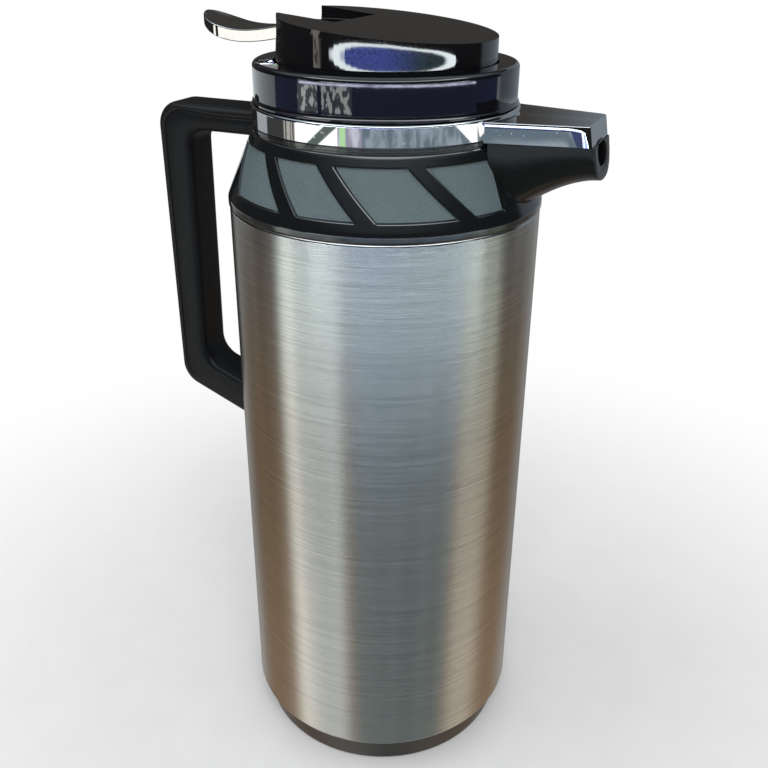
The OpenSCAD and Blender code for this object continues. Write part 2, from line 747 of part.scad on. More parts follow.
// Lipped ring that closes the gap between the tube and the flask's neck
module neck_seal() {
    lip_r = neck_bore_r - gap;
    color("#d8d3c8") rotate_extrude() polygon([
        [tube_r - seal_bite, seal_z], [lip_r - 0.4, seal_z], [lip_r, seal_z + 0.8], [lip_r - 0.5, seal_z + 1.6],
        [lip_r, seal_z + 2.6], [lip_r - 0.6, seal_z + seal_h], [tube_r - seal_bite, seal_z + seal_h]]);
}

module stem_seal() {
    color("#d8d3c8") tube(stem_r + 1.45, stem_r + run_fit, deck_top + guide_h - 2, 1.8);
}

// ---- Valve ----

valve_seat_z = tube_low + valve_floor_t;
valve_seal_t = 2;
plug_r = valve_hole_r + 3;
fork_t = 3;
fork_top = pivot_z - 2;
head_z = fork_top + gap;
head_t = 2;
head_r = 6.4;
spring_z = head_z + head_t;

module valve_stem() {
    plug_z = valve_seat_z + gap + valve_seal_t;
    color("#e4e1da") rotate_extrude() polygon([
        [0, plug_z - valve_seal_t], [2.6, plug_z - valve_seal_t], [2.6, plug_z], [plug_r, plug_z],
        [plug_r, plug_z + 1.6], [stem_r + 2.5, plug_z + 2.4], [stem_r, plug_z + 5], [stem_r, head_z],
        [head_r, head_z], [head_r, head_z + head_t], [0, head_z + head_t]]);
}

module valve_seal() {
    low = valve_seat_z + gap;
    color("#c9654a") rotate_extrude() polygon([
        [2.6, low], [plug_r - 0.2, low], [plug_r + 0.6, low + 0.8], [plug_r, low + valve_seal_t],
        [2.6, low + valve_seal_t]]);
}

// Underside of the cap's sloping top at x
function ceiling(x) = ring_top + cap_h - x * tan(cap_tilt) - cap_wall / cos(cap_tilt);

spring_r = 4.4;
wire_r = 0.4;
spring_boss_z = ceiling(spring_r + 2) - 0.6;
spring_len = spring_boss_z - spring_z;

// Round wire wound from the stem's head to the cap's spring seat
module valve_spring() {
    turns = 4.5;
    steps = 16;
    sides = 6;
    run = spring_len - 2 * wire_r;
    rings = [for (i = [0:turns * steps]) let (a = 360 * i / steps, z = spring_z + wire_r + run * i / (turns * steps))
        [for (j = [0:sides - 1]) let (b = 360 * j / sides, r = spring_r + wire_r * cos(b))
            [r * cos(a), r * sin(a), z + wire_r * sin(b)]]];
    color("#b9bcc0") skin(rings);
}

// ---- Lever and its bracket ----

hub_r = 3.6;
ear_t = 2.4;
ear_in = 12;
ear_out = ear_in + ear_t;
bracket_t = 2.4;
ear_r = 3.2;
foot_half = ear_r + 2.8;
post_h = 6;
bracket_screw_y = 7;
small_screw_r = 1.2;
bracket_z = deck_top + post_h;

module lever_bracket() {
    color("#3a3d42") difference() {
        union() {
            translate([-pivot_x - foot_half, -ear_out, bracket_z]) cube([2 * foot_half, 2 * ear_out, bracket_t]);
            for (y = [-ear_out, ear_in]) {
                translate([-pivot_x - ear_r, y, bracket_z]) cube([2 * ear_r, ear_t, pivot_z - bracket_z]);
                translate([-pivot_x, y, pivot_z]) rotate([-90, 0, 0]) cylinder(r = ear_r, h = ear_t);
            }
        }
        translate([-pivot_x, -ear_out - 1, pivot_z]) rotate([-90, 0, 0])
            cylinder(r = pin_r + 0.02, h = 2 * ear_out + 2);
        for (y = [-bracket_screw_y, bracket_screw_y])
            translate([-pivot_x, y, bracket_z - 1]) cylinder(r = small_screw_r + 0.15, h = bracket_t + 2);
    }
}

module bracket_screws() {
    color("#a6a9ac") for (y = [-bracket_screw_y, bracket_screw_y])
        translate([-pivot_x, y, bracket_z + bracket_t]) {
            translate([0, 0, -8]) cylinder(r = small_screw_r, h = 8);
            difference() {
                cylinder(r = 2.3, h = 1.5);
                for (a = [0, 90]) rotate([0, 0, a]) translate([-1.2, -0.3, 0.7]) cube([2.4, 0.6, 1]);
            }
        }
}

module lever_pin() {
    color("#b9bcc0") translate([-pivot_x, -ear_out, pivot_z]) rotate([-90, 0, 0]) cylinder(r = pin_r, h = 2 * ear_out);
}

// Height of the lever's top at distance d from the axis: level in the slot, then a
// shallow sag that curls up to the tip
function lever_top(d) = ring_top + (d < root_d ? 11 :
    bezier([11, 8.5, 6.7, 13.8], (d - root_d) / (lever_reach - root_d)));

pad_r = pad_w / 2;
pad_d = lever_reach - pad_r;
root_d = cap_r - 4.4;

// Half the lever's width at distance d: a round tip, then sides that spread to the slot
function lever_half(d) =
    d > pad_d ? sqrt(pad_r * pad_r - pow(d - pad_d, 2)) :
    mix(pad_w, lever_root_w, min(1, (pad_d - d) / (pad_d - root_d))) / 2;

// Section at distance d: dished top, then the skirt and the pocket under it, both on
// the same columns from side to side
function lever_ring(d, hollow) =
    let (half = lever_half(d), top = lever_top(d), edge = min(0.4, half * 0.3), in = half - min(1.6, half * 0.4),
         low = top - skirt_h * (d > pad_d ? 1 - 0.25 * (d - pad_d) / pad_r : 1),
         roof = hollow ? top - dish - 1.6 : low, pocket = in - edge / 4, sag = dish * min(1, half / pad_r),
         side = [0, 0.3 * pocket, 0.6 * pocket, pocket, in, half - edge, half],
         columns = [for (i = [-6:6]) [sign(i) * side[abs(i)], abs(i)]])
    concat(
        [for (c = columns) [-d, c[0], c[1] == 6 ? top - edge : top - sag * (1 - pow(c[0] / half, 2))]],
        [for (c = backwards(columns)) [-d, c[0], c[1] == 6 ? low + edge : c[1] > 3 ? low : roof]]);

module thumb_lever() {
    arm_in = ear_in - gap;
    color("#d9dcdf") difference() {
        union() {
            skin(concat(
                [for (a = [80:-10:10]) lever_ring(pad_d + pad_r * sin(a), a < 60)],
                [for (i = [0:10]) lever_ring(mix(pad_d, root_d, i / 10), true)],
                [lever_ring(pivot_x - 3, true)]), hollowed = true);
            // Hub on the pin, with a web up to the pad
            translate([-pivot_x, -arm_in, pivot_z]) rotate([-90, 0, 0]) cylinder(r = hub_r, h = 2 * arm_in);
            translate([-pivot_x - hub_r, -arm_in, pivot_z])
                cube([hub_r + 2, 2 * arm_in, lever_top(pivot_x) - skirt_h / 2 - pivot_z]);
            // Arm to the valve stem, ending in a rounded fork
            translate([-pivot_x, -head_r, fork_top - fork_t]) cube([pivot_x - 0.5, 2 * head_r, fork_t - 0.35]);
            translate([-0.5, -head_r, fork_top - fork_t / 2]) rotate([-90, 0, 0])
                cylinder(r = fork_t / 2, h = 2 * head_r);
        }
        translate([-pivot_x, -arm_in - 1, pivot_z]) rotate([-90, 0, 0])
            cylinder(r = pin_r + run_fit, h = 2 * arm_in + 2);
        // Room for the bracket's ears under the pad
        for (y = [arm_in, -arm_in - lever_root_w])
            translate([-pivot_x - ear_r - 2.5, y, pivot_z - lever_root_w])
                cube([2 * ear_r + pivot_x / 2, lever_root_w, lever_root_w + ear_r + 2 * gap]);
        // Slot of the fork
        translate([-stem_r - 1.5, -stem_r - 0.7, fork_top - 2 * fork_t])
            cube([4 * stem_r, 2 * stem_r + 1.4, 4 * fork_t]);
    }
}

// ---- Lock ring and cap ----

module lock_ring() {
    low = deck_top + gap;
    flare = 0.5;
    color("#121317") rotate_extrude($fn = 128) polygon(concat(
        [[ring_in, low], [skirt_r, low], [skirt_r, ring_top - ring_wall], [ring_r - ring_wall, ring_top - ring_wall],
         [ring_r - ring_wall, ring_z], [ring_r + flare, ring_z], [ring_r + flare, ring_z + 0.8],
         [ring_r, ring_z + 1.6]],
        arc(ring_r - ring_edge, ring_top - ring_edge, ring_edge, 0, 90, 6),
        [[ring_in, ring_top]]));
}

// Space under the cap's sloping top, moved down by drop
module under_top(drop) {
    translate([0, 0, ring_top + cap_h - drop / cos(cap_tilt)]) rotate([0, cap_tilt, 0])
        translate([-2 * cap_r, -2 * cap_r, -2 * cap_r]) cube([4 * cap_r, 4 * cap_r, 2 * cap_r]);
}

module upper_cap() {
    sill_z = ring_top + 1.3;
    cheek_t = 1.5;
    cheek_low = bracket_z + 6;
    room = 2 * (ring_h + cap_h);
    color("#121317") difference() {
        union() {
            difference() {
                intersection() {
                    translate([0, 0, deck_top]) cylinder(r = cap_r, h = room, $fn = 128);
                    under_top(0);
                }
                intersection() {
                    translate([0, 0, deck_top - 1]) cylinder(r = cap_r - cap_wall, h = room, $fn = 128);
                    under_top(cap_wall);
                }
            }
            // Cheeks and end wall of the lever's well, and the spring's seat
            intersection() {
                translate([0, 0, deck_top]) cylinder(r = cap_r - 0.5, h = room);
                under_top(0.5);
                union() {
                    for (y = [-slot_w / 2 - cheek_t, slot_w / 2])
                        translate([-cap_r, y, cheek_low]) cube([cap_r - slot_end + cheek_t, cheek_t, room]);
                    translate([-slot_end, -slot_w / 2 - 0.1, pivot_z + 2]) cube([cheek_t, slot_w + 0.2, room]);
                    translate([0, 0, spring_boss_z]) cylinder(r = spring_r + 2, h = 2 * cap_h);
                }
            }
        }
        translate([-cap_r - 5, -slot_w / 2, sill_z]) cube([cap_r + 5 - slot_end, slot_w, room]);
    }
}

base_cup();
base_ring();
flask_cushion();
steel_shell();
flask_outer();
flask_inner();
mouth_gasket();
stopper_well();
shoulder_collar();
pour_spout();
chrome_trim();
handle_grip();
handle_cover();
handle_backplate();
handle_screws();
stopper_body();
stopper_gasket();
neck_seal();
stem_seal();
valve_stem();
valve_seal();
valve_spring();
lever_bracket();
bracket_screws();
lever_pin();
thumb_lever();
lock_ring();
upper_cap();
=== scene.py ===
import math
import bpy
import bmesh
import numpy as np
from mathutils import Matrix, Vector


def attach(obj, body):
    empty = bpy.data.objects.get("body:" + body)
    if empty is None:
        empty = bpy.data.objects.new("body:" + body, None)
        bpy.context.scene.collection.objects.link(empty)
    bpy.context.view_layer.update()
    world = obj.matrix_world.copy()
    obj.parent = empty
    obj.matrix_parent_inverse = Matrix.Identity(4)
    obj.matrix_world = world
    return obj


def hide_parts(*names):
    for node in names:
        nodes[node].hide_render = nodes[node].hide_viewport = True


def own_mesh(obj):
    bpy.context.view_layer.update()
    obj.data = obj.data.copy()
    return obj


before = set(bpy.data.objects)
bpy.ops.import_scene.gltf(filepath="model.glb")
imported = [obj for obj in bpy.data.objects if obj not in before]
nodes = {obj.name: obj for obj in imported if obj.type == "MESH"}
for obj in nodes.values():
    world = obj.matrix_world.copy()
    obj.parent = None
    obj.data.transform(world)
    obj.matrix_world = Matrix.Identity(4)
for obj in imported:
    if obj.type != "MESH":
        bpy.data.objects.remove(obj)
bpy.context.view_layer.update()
print("frame loaded with", len(nodes), "nodes")

# Lengths in the settings are millimetres, but metres in the studio and for the camera's clipping.
# Angles are degrees.
millimetre = 0.001

cameraView = {
    "place": (142.0, -318.9, 338.6), "turn": 24.0, "pitch": 26.75, "roll": 0.34, "focal": 913.0,
    "frameWidth": 768.0, "sensor": 36.0, "nearest": 0.01, "farthest": 100.0}


def putInScene(name, data):
    made = bpy.data.objects.new(name, data)
    bpy.context.scene.collection.objects.link(made)
    return made


def aimCamera(s):
    # Forward, right and up come from the turn and the pitch, then right and up roll together.
    turn, pitch, roll = (math.radians(s[k]) for k in ("turn", "pitch", "roll"))
    level = Vector((-math.sin(turn), math.cos(turn), 0.0))
    side = Vector((math.cos(turn), math.sin(turn), 0.0))
    top = Vector((0.0, 0.0, 1.0))
    forward = level * math.cos(pitch) - top * math.sin(pitch)
    upward = level * math.sin(pitch) + top * math.cos(pitch)
    right = side * math.cos(roll) + upward * math.sin(roll)
    over = upward * math.cos(roll) - side * math.sin(roll)
    lens = bpy.data.cameras.new("studioCamera")
    lens.sensor_width = s["sensor"]
    lens.lens = s["focal"] / s["frameWidth"] * s["sensor"]
    lens.clip_start, lens.clip_end = s["nearest"], s["farthest"]
    holder = putInScene("studioCamera", lens)
    turned = Matrix((right, over, -forward)).transposed().to_4x4()
    holder.matrix_world = Matrix.Translation(Vector(s["place"]) * millimetre) @ turned
    bpy.context.scene.camera = holder


aimCamera(cameraView)
bpy.context.scene.view_settings.view_transform = "Standard"
print("camera set")


class Wire:
    # One output socket, on which sums, differences, products and quotients make maths nodes
    def __init__(self, finish, socket):
        self.finish, self.socket = finish, socket

    def maths(self, operation, *others):
        return self.finish.node("Math", {"operation": operation}, dict(enumerate((self,) + others)))

    def __add__(self, other):
        return self.maths("ADD", other)

    def __mul__(self, other):
        return self.maths("MULTIPLY", other)

    def __sub__(self, other):
        return self.maths("SUBTRACT", other)

    def __rsub__(self, other):
        return self.finish.node("Math", {"operation": "SUBTRACT"}, {0: other, 1: self})

    def __truediv__(self, other):
        return self.maths("DIVIDE", other)

    def rise(self, low, high, bottom=0.0, top=1.0):
        # Smooth step from bottom at low to top at high
        return self.finish.node("MapRange", {"interpolation_type": "SMOOTHSTEP"},
                                {"Value": self, "From Min": low, "From Max": high,
                                 "To Min": bottom, "To Max": top})

    def between(self, low, high, soft):
        # 1 between low and high, 0 outside, with soft shoulders
        return self.rise(low - soft, low + soft) * self.rise(high - soft, high + soft, 1.0, 0.0)


class Finish:
    # A material or a world, and the one method that makes its nodes
    def __init__(self, name, owner=None):
        self.owner = owner or bpy.data.materials.new(name)
        self.owner.use_nodes = True
        self.tree = self.owner.node_tree
        self.tree.nodes.clear()

    def node(self, kind, settings=None, sockets=None, output=0):
        made = self.tree.nodes.new("ShaderNode" + kind)
        for key, value in (settings or {}).items():
            setattr(made, key, value)
        for key, value in (sockets or {}).items():
            if isinstance(value, Wire):
                self.tree.links.new(value.socket, made.inputs[key])
            elif isinstance(value, tuple) and len(value) == 3 and made.inputs[key].type == "RGBA":
                made.inputs[key].default_value = (*value, 1.0)
            else:
                made.inputs[key].default_value = value
        return Wire(self, made.outputs[output]) if made.outputs else None

    def place(self, scale=(1.0, 1.0, 1.0)):
        # Object coordinates in metres, stretched by scale
        return self.node("Mapping", {}, {"Vector": self.node("TexCoord", output=3), "Scale": scale})

    def noise(self, scale, detail=3.0, roughness=0.5):
        return self.node("TexNoise", {}, {"Vector": self.place(scale), "Scale": 1.0,
                                          "Detail": detail, "Roughness": roughness})

    def blend(self, share, first, second, how="MIX"):
        return self.node("Mix", {"data_type": "RGBA", "blend_type": how},
                         {0: share, 6: first, 7: second}, output=2)

    def grey(self, value):
        return self.node("CombineColor", {}, {0: value, 1: value, 2: value})

    def bump(self, height, strength, distance, under=None):
        sockets = {"Height": height, "Strength": strength, "Distance": distance}
        if under is not None:
            sockets["Normal"] = under
        return self.node("Bump", {}, sockets)

    def surface(self, **sockets):
        named = {key.replace("_", " "): value for key, value in sockets.items()}
        shader = self.node("BsdfPrincipled", {}, named)
        self.node("OutputMaterial", {}, {"Surface": shader})
        return self.owner


studio = {
    "keyPower": 11.0, "keySize": 1.0, "keyPlace": (0.55, -1.0, 1.35), "fillPower": 4.0, "fillSize": 1.2,
    "fillPlace": (-1.2, -0.6, 0.9), "aim": (0.0, 0.0, 0.14), "ambient": 0.62, "floorTone": 0.86,
    "floorGrain": 0.01, "fadeFrom": 0.10, "fadeTo": 0.42, "floorSpan": 60.0}


def lamp(kind, s):
    light = bpy.data.lights.new(kind + "Lamp", "AREA")
    light.size, light.energy, light.shape = s[kind + "Size"], s[kind + "Power"], "DISK"
    holder = putInScene(kind + "Lamp", light)
    place = Vector(s[kind + "Place"])
    turned = (Vector(s["aim"]) - place).to_track_quat("-Z", "Y").to_matrix().to_4x4()
    holder.matrix_world = Matrix.Translation(place) @ turned
    holder.visible_glossy = False


# What polished and brushed faces show, by bearing from the camera (towards its right) and by
# height, both in degrees. Spans are: from, to and, where their ends are soft, the softness.
# The cards are a window, its bright post, the sky and the garden, each with its span and its
# colour as seen high on the body and low on it.
surround = {
    "cards": ((-82.0, -32.0, 5.0, (0.88, 0.96, 1.00), (0.50, 0.52, 0.49)),
              (-83.0, -70.0, 3.0, (1.30, 1.32, 1.18), (0.86, 0.83, 0.74)),
              (-26.0, 60.0, 9.0, (0.52, 0.64, 0.92), (0.115, 0.135, 0.130)),
              (63.0, 94.0, 5.0, (0.50, 0.59, 0.48), (0.50, 0.44, 0.35))),
    "cardHeights": (-26.0, -17.0), "wallHigh": (0.15, 0.14, 0.12), "wallLow": (0.20, 0.135, 0.08),
    "behind": (120.0, 165.0),
    "behindTone": (0.34, 0.34, 0.34), "streakTones": (0.84, 1.14), "deep": (-44.0, -33.0),
    "deepGain": 1.45, "bow": 4.5e-5, "eaves": (-17.3, -12.9, 0.4), "eavesSpan": (-84.0, 76.0, 6.0),
    "eavesTone": (1.5, 1.9, 1.85), "trimFrom": (-13.0, -12.75), "ringFrom": (-10.74, -10.70),
    "capFrom": (-8.38, -8.34), "aboveFrom": (-5.6, -5.4), "gapTone": (0.015, 0.015, 0.016),
    "ceiling": (22.0, 42.0), "ceilingTone": (0.46, 0.56, 0.62), "away": (115.0, 150.0),
    "awayTone": (0.05, 0.047, 0.044), "awayCeiling": (40.0, 60.0), "blind": (-78.0, -68.0, 1.0),
    "blindTop": (-4.5, -3.5), "blindTone": (1.2, 1.18, 1.1), "door": (112.0, 168.0, 4.0),
    "doorHeights": (-9.5, 24.0, 0.5), "doorTone": (0.20, 0.23, 0.26), "shelf": (38.0, 50.0, 3.0),
    "shelfSpan": (-86.0, 88.0, 3.0), "shelfTone": 3.5}

trimView = {
    "room": ((0.15, 0.20, 0.24), (0.34, 0.40, 0.46)), "pillars": (-40.0, -19.0, 1.5),
    "pillarTones": ((0.36, 0.35, 0.44), (0.66, 0.66, 0.76)), "leaf": (-38.0, -33.0, 0.8),
    "leafTone": (0.52, 0.86, 0.44), "brightTone": (1.5, 1.5, 1.5), "blind": (57.0, 60.0),
    "blindEnd": (88.0, 90.0), "pane": (-81.0, -40.0, 1.0), "leanFrom": -11.0, "leanGain": 16.0,
    "tree": (-50.0, -38.0, 1.2), "treeTone": (0.12, 0.15, 0.13), "wall": (-81.5, -80.0),
    "wallTones": ((0.10, 0.09, 0.08), (0.50, 0.48, 0.44)),
    "corners": ((-96.0, -94.0, (0.05, 0.05, 0.05)), (-119.0, -117.0, (0.38, 0.40, 0.42)))}

ringView = {
    "panes": ((-79.0, -59.0, 0.6), (-55.0, -28.0, 0.6)), "secondPane": 0.85,
    "paneHeights": (-10.35, -8.8, 0.05), "paneTone": 3.2, "paneTint": (0.95, 0.93),
    "line": (-77.0, 80.0, 2.0), "lineHeights": (-8.76, -8.62, 0.02), "lineTone": (5.92, 6.24, 8.0),
    "room": (-107.0, 108.0, 1.0), "roomTone": (0.06, 0.075, 0.17), "endTone": (0.55, 0.60, 0.62)}

ovalView = {
    "bearing": 9.0, "half": 67.0, "height": -7.2, "tall": 0.86, "tilt": 0.00325, "power": 2.6,
    "frame": (0.74, 0.84), "rim": (0.95, 1.0), "frameTone": (8.8, 9.7, 10.0), "green": (-10.0, 45.0),
    "paneTones": ((0.55, 0.75, 2.9), (0.25, 0.42, 0.50)), "weave": (0.55, 1.3),
    "aroundTone": (0.02, 0.02, 0.02), "blindTones": ((0.25, 0.2, 0.15), (1.25, 1.22, 1.12))}


def trimBand(f, bearing, lift, noise, s):
    # Bright window, a dark leaning tree, pale pillars, a grey room and a slanting blind
    patches = noise(0.14, 0.6, 3.0).rise(0.35, 0.68)
    lean = (lift - s["leanFrom"]) * s["leanGain"]
    isBlind = (bearing + lean).rise(*s["blind"]) * bearing.rise(*s["blindEnd"], 1.0, 0.0)
    colour = f.blend(patches, *s["room"])
    colour = f.blend(bearing.between(*s["pillars"]), colour, f.blend(patches, *s["pillarTones"]))
    colour = f.blend(bearing.between(*s["leaf"]), colour, s["leafTone"])
    colour = f.blend(isBlind, colour, s["brightTone"])
    colour = f.blend(bearing.between(*s["pane"]), colour, s["brightTone"])
    tree = (bearing - lean).between(*s["tree"]) * noise(0.3, 3.0, at=7.0).rise(0.22, 0.34)
    colour = f.blend(tree, colour, s["treeTone"])
    wall = f.blend(noise(0.5, 0.1).rise(0.45, 0.55), *s["wallTones"])
    colour = f.blend(bearing.rise(*s["wall"], 1.0, 0.0), colour, wall)
    for start, end, tone in s["corners"]:
        colour = f.blend(bearing.rise(start, end, 1.0, 0.0), colour, tone)
    return colour


def ringBand(f, bearing, lift, noise, s):
    # Dark room, two panes with branches, and a pale line over them
    twigs = noise(0.20, 1.5, 3.0).rise(0.50, 0.56) * 0.9
    branches = twigs + noise(0.06, 0.02, at=3.0).rise(0.3, 0.7, 0.03, 0.15)
    panes = bearing.between(*s["panes"][0]) + bearing.between(*s["panes"][1]) * s["secondPane"]
    panes = panes * branches * lift.between(*s["paneHeights"]) * s["paneTone"]
    line = bearing.between(*s["line"]) * lift.between(*s["lineHeights"])
    line = line * noise(0.05, 0.0, at=5.0).rise(0.3, 0.6, 0.45, 1.0)
    colour = f.blend(bearing.between(*s["room"]), s["endTone"], s["roomTone"])
    colour = f.blend(line, colour, s["lineTone"])
    red, blue = s["paneTint"]
    glow = f.node("CombineColor", {}, {0: panes * red, 1: panes, 2: panes * blue})
    return f.blend(1.0, colour, glow, "ADD")


def capBand(f, bearing, lift, noise, isBlind, s):
    # An oval pane, pale round its frame and violet to green within, and a pale blind beside it
    # that the lever's skirt shows
    across = ((bearing - s["bearing"]) / s["half"]).maths("ABSOLUTE").maths("POWER", s["power"])
    tall = bearing * -s["tilt"] + s["tall"]
    upward = (lift - s["height"] + bearing * s["tilt"]) / tall
    upward = upward.maths("ABSOLUTE").maths("POWER", s["power"])
    reach = (across + upward).maths("POWER", 1 / s["power"])
    isAround = reach.rise(*s["rim"])
    weave = noise(1.1, 9.0, 1.0).rise(0.35, 0.65, *s["weave"])
    pane = f.blend(bearing.rise(*s["green"]), *s["paneTones"])
    pane = f.blend(1.0, pane, f.grey(weave), "MULTIPLY")
    colour = f.blend(reach.rise(*s["frame"]), pane, s["frameTone"])
    colour = f.blend(isAround, colour, s["aroundTone"])
    blind = f.blend(noise(0.4, 0.6, at=2.0).rise(0.30, 0.38), *s["blindTones"])
    return f.blend(isBlind * isAround, colour, blind)


def paintSurroundings(s, ambient):
    world = bpy.data.worlds.new("studioSurroundings")
    bpy.context.scene.world = world
    f = Finish("studioSurroundings", world)
    ray = f.node("TexCoord", output=0)
    turn = math.radians(cameraView["turn"])
    x, y = math.cos(turn), math.sin(turn)
    toRight, toFront = (f.node("VectorMath", {"operation": "DOT_PRODUCT"}, {0: ray, 1: way}, output=1)
                        for way in ((x, y, 0.0), (y, -x, 0.0)))
    bearing = toRight.maths("ARCTAN2", toFront) * math.degrees(1.0)
    height = f.node("SeparateXYZ", {}, {0: ray}, output=2).maths("ARCSINE") * math.degrees(1.0)
    side = bearing.maths("ABSOLUTE")
    # A ring's wall reflects a bowed line, so the bow is taken out of the height
    lift = height - bearing * bearing * s["bow"]

    def noise(across, up, detail=2.0, at=0.0):
        spot = f.node("CombineXYZ", {}, {0: bearing * across + at, 1: lift * up})
        return f.node("TexNoise", {"noise_dimensions": "2D"},
                      {"Vector": spot, "Scale": 1.0, "Detail": detail})

    # Cards that the brushed body shows, over the walls beside and behind them
    low = height.rise(*s["cardHeights"], 1.0, 0.0)
    colour = f.blend(side.rise(*s["behind"]), f.blend(low, s["wallHigh"], s["wallLow"]), s["behindTone"])
    for start, end, soft, high, deep in s["cards"]:
        colour = f.blend(bearing.between(start, end, soft), colour, f.blend(low, high, deep))
    streaks = noise(0.11, 0.01).rise(0.3, 0.7, *s["streakTones"])
    streaks = streaks * height.rise(*s["deep"], s["deepGain"], 1.0)
    colour = f.blend(1.0, colour, f.grey(streaks), "MULTIPLY")
    # Bright eaves over the cards, seen in the collar's lip and the body's curl
    colour = f.blend(lift.between(*s["eaves"]) * bearing.between(*s["eavesSpan"]), colour, s["eavesTone"])

    # The bands lie one over another up to a dark gap, with a soft ceiling and one long shelf over it
    isBlind = bearing.between(*s["blind"])
    above = f.blend(height.rise(*s["ceiling"]), s["gapTone"], s["ceilingTone"])
    away = f.blend(height.rise(*s["awayCeiling"]), s["awayTone"], s["ceilingTone"])
    above = f.blend(side.rise(*s["away"]), above, away)
    above = f.blend(isBlind * height.rise(*s["blindTop"], 1.0, 0.0), above, s["blindTone"])
    for start, band in ((s["trimFrom"], trimBand(f, bearing, lift, noise, trimView)),
                        (s["ringFrom"], ringBand(f, bearing, lift, noise, ringView)),
                        (s["capFrom"], capBand(f, bearing, lift, noise, isBlind, ovalView)),
                        (s["aboveFrom"], above)):
        colour = f.blend(lift.rise(*start), colour, band)
    isDoor = bearing.between(*s["door"]) * height.between(*s["doorHeights"])
    colour = f.blend(isDoor, colour, s["doorTone"])
    shelf = height.between(*s["shelf"]) * bearing.between(*s["shelfSpan"]) * s["shelfTone"]
    colour = f.blend(1.0, colour, f.grey(shelf), "ADD")

    # The camera sees plain white and polished faces see all this; matt ones are lit by an even grey
    isSeen, isGlossy, isThrough = (f.node("LightPath", output=k) for k in (0, 3, 6))
    seen = f.blend(isSeen.maths("MAXIMUM", isThrough), colour, (1.0, 1.0, 1.0))
    share = isSeen.maths("MAXIMUM", isGlossy).maths("MAXIMUM", isThrough)
    shown = f.blend(share, (ambient, ambient, ambient), seen)
    f.node("OutputWorld", {}, {"Surface": f.node("Background", {}, {"Color": shown})})


paintSurroundings(surround, studio["ambient"])
lamp("key", studio)
lamp("fill", studio)


def layFloor(s):
    # Pale floor that keeps the shadow near the jug and turns plain white further out
    span = s["floorSpan"] / 2
    mesh = bpy.data.meshes.new("studioFloor")
    corners = [(-span, -span, 0), (span, -span, 0), (span, span, 0), (-span, span, 0)]
    mesh.from_pydata(corners, [], [(0, 1, 2, 3)])
    floor = putInScene("studioFloor", mesh)
    f = Finish("paleFloor")
    away = f.node("VectorMath", {"operation": "LENGTH"}, {0: f.place()}, output=1)
    dark, pale = s["floorTone"] - s["floorGrain"], s["floorTone"] + s["floorGrain"]
    matt = f.node("BsdfDiffuse", {}, {"Color": f.grey(f.noise((40, 40, 40)).rise(0.3, 0.7, dark, pale))})
    white = f.node("Emission", {}, {"Color": (1.0, 1.0, 1.0), "Strength": 1.0})
    faded = f.node("MixShader", {}, {0: away.rise(s["fadeFrom"], s["fadeTo"]), 1: matt, 2: white})
    f.node("OutputMaterial", {}, {"Surface": faded})
    mesh.materials.append(f.owner)
    floor.visible_glossy = False


layFloor(studio)
print("studio lit")


def arc(x, y, radius, start, end, steps=8):
    turns = np.radians(np.linspace(start, end, steps + 1))
    return np.stack([x + radius * np.cos(turns), y + radius * np.sin(turns)], 1)


def outline(*parts):
    return np.concatenate([np.atleast_2d(np.array(p, float)) for p in parts])


def gridFaces(rows, columns, closeRows, closeColumns):
    # Quads between neighbouring rows and columns of a grid, wrapped where it is closed
    r = np.arange(rows if closeRows else rows - 1)
    c = np.arange(columns if closeColumns else columns - 1)
    r, c = np.meshgrid(r, c, indexing="ij")
    r2, c2 = (r + 1) % rows, (c + 1) % columns
    quads = [r * columns + c, r * columns + c2, r2 * columns + c2, r2 * columns + c]
    return np.stack(quads, -1).reshape(-1, 4)


def handOver(piece, body, replaced):
    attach(piece, body)
    if replaced:
        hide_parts(replaced)


def makePiece(name, parts, finishNames, replaced=None, body="housing", sharp=32.0, marks=None):
    # parts are (points in millimetres, faces); they are joined, welded and turned outwards
    points, faces, start = [], [], 0
    for cloud, quads in parts:
        points.append(np.asarray(cloud, float).reshape(-1, 3))
        quads = quads.tolist() if hasattr(quads, "tolist") else quads
        faces += [[corner + start for corner in face] for face in quads]
        start += len(points[-1])
    mesh = bpy.data.meshes.new(name)
    mesh.from_pydata((np.concatenate(points) * millimetre).tolist(), [], faces)
    for finish in finishNames:
        mesh.materials.append(finishes[finish])
    if marks is not None:
        mesh.polygons.foreach_set("material_index", np.asarray(marks, np.int32))
    shape = bmesh.new()
    shape.from_mesh(mesh)
    bmesh.ops.remove_doubles(shape, verts=shape.verts, dist=1e-6)
    bmesh.ops.dissolve_degenerate(shape, edges=shape.edges, dist=1e-7)
    bmesh.ops.recalc_face_normals(shape, faces=shape.faces)
    shape.to_mesh(mesh)
    shape.free()
    mesh.shade_smooth()
    mesh.set_sharp_from_angle(angle=math.radians(sharp))
    handOver(putInScene(name, mesh), body, replaced)


def circle(steps):
    turns = np.linspace(0.0, 2 * np.pi, steps, endpoint=False)
    return np.stack([np.cos(turns), np.sin(turns)], 1)


def turned(profile, steps=256, closed=True):
    # A profile of [radius, height] carried round the axis
    heights = np.repeat(profile[:, None, 1:], steps, 1)
    cloud = np.concatenate([profile[:, None, :1] * circle(steps)[None], heights], 2)
    return cloud, gridFaces(len(profile), steps, closed, True)


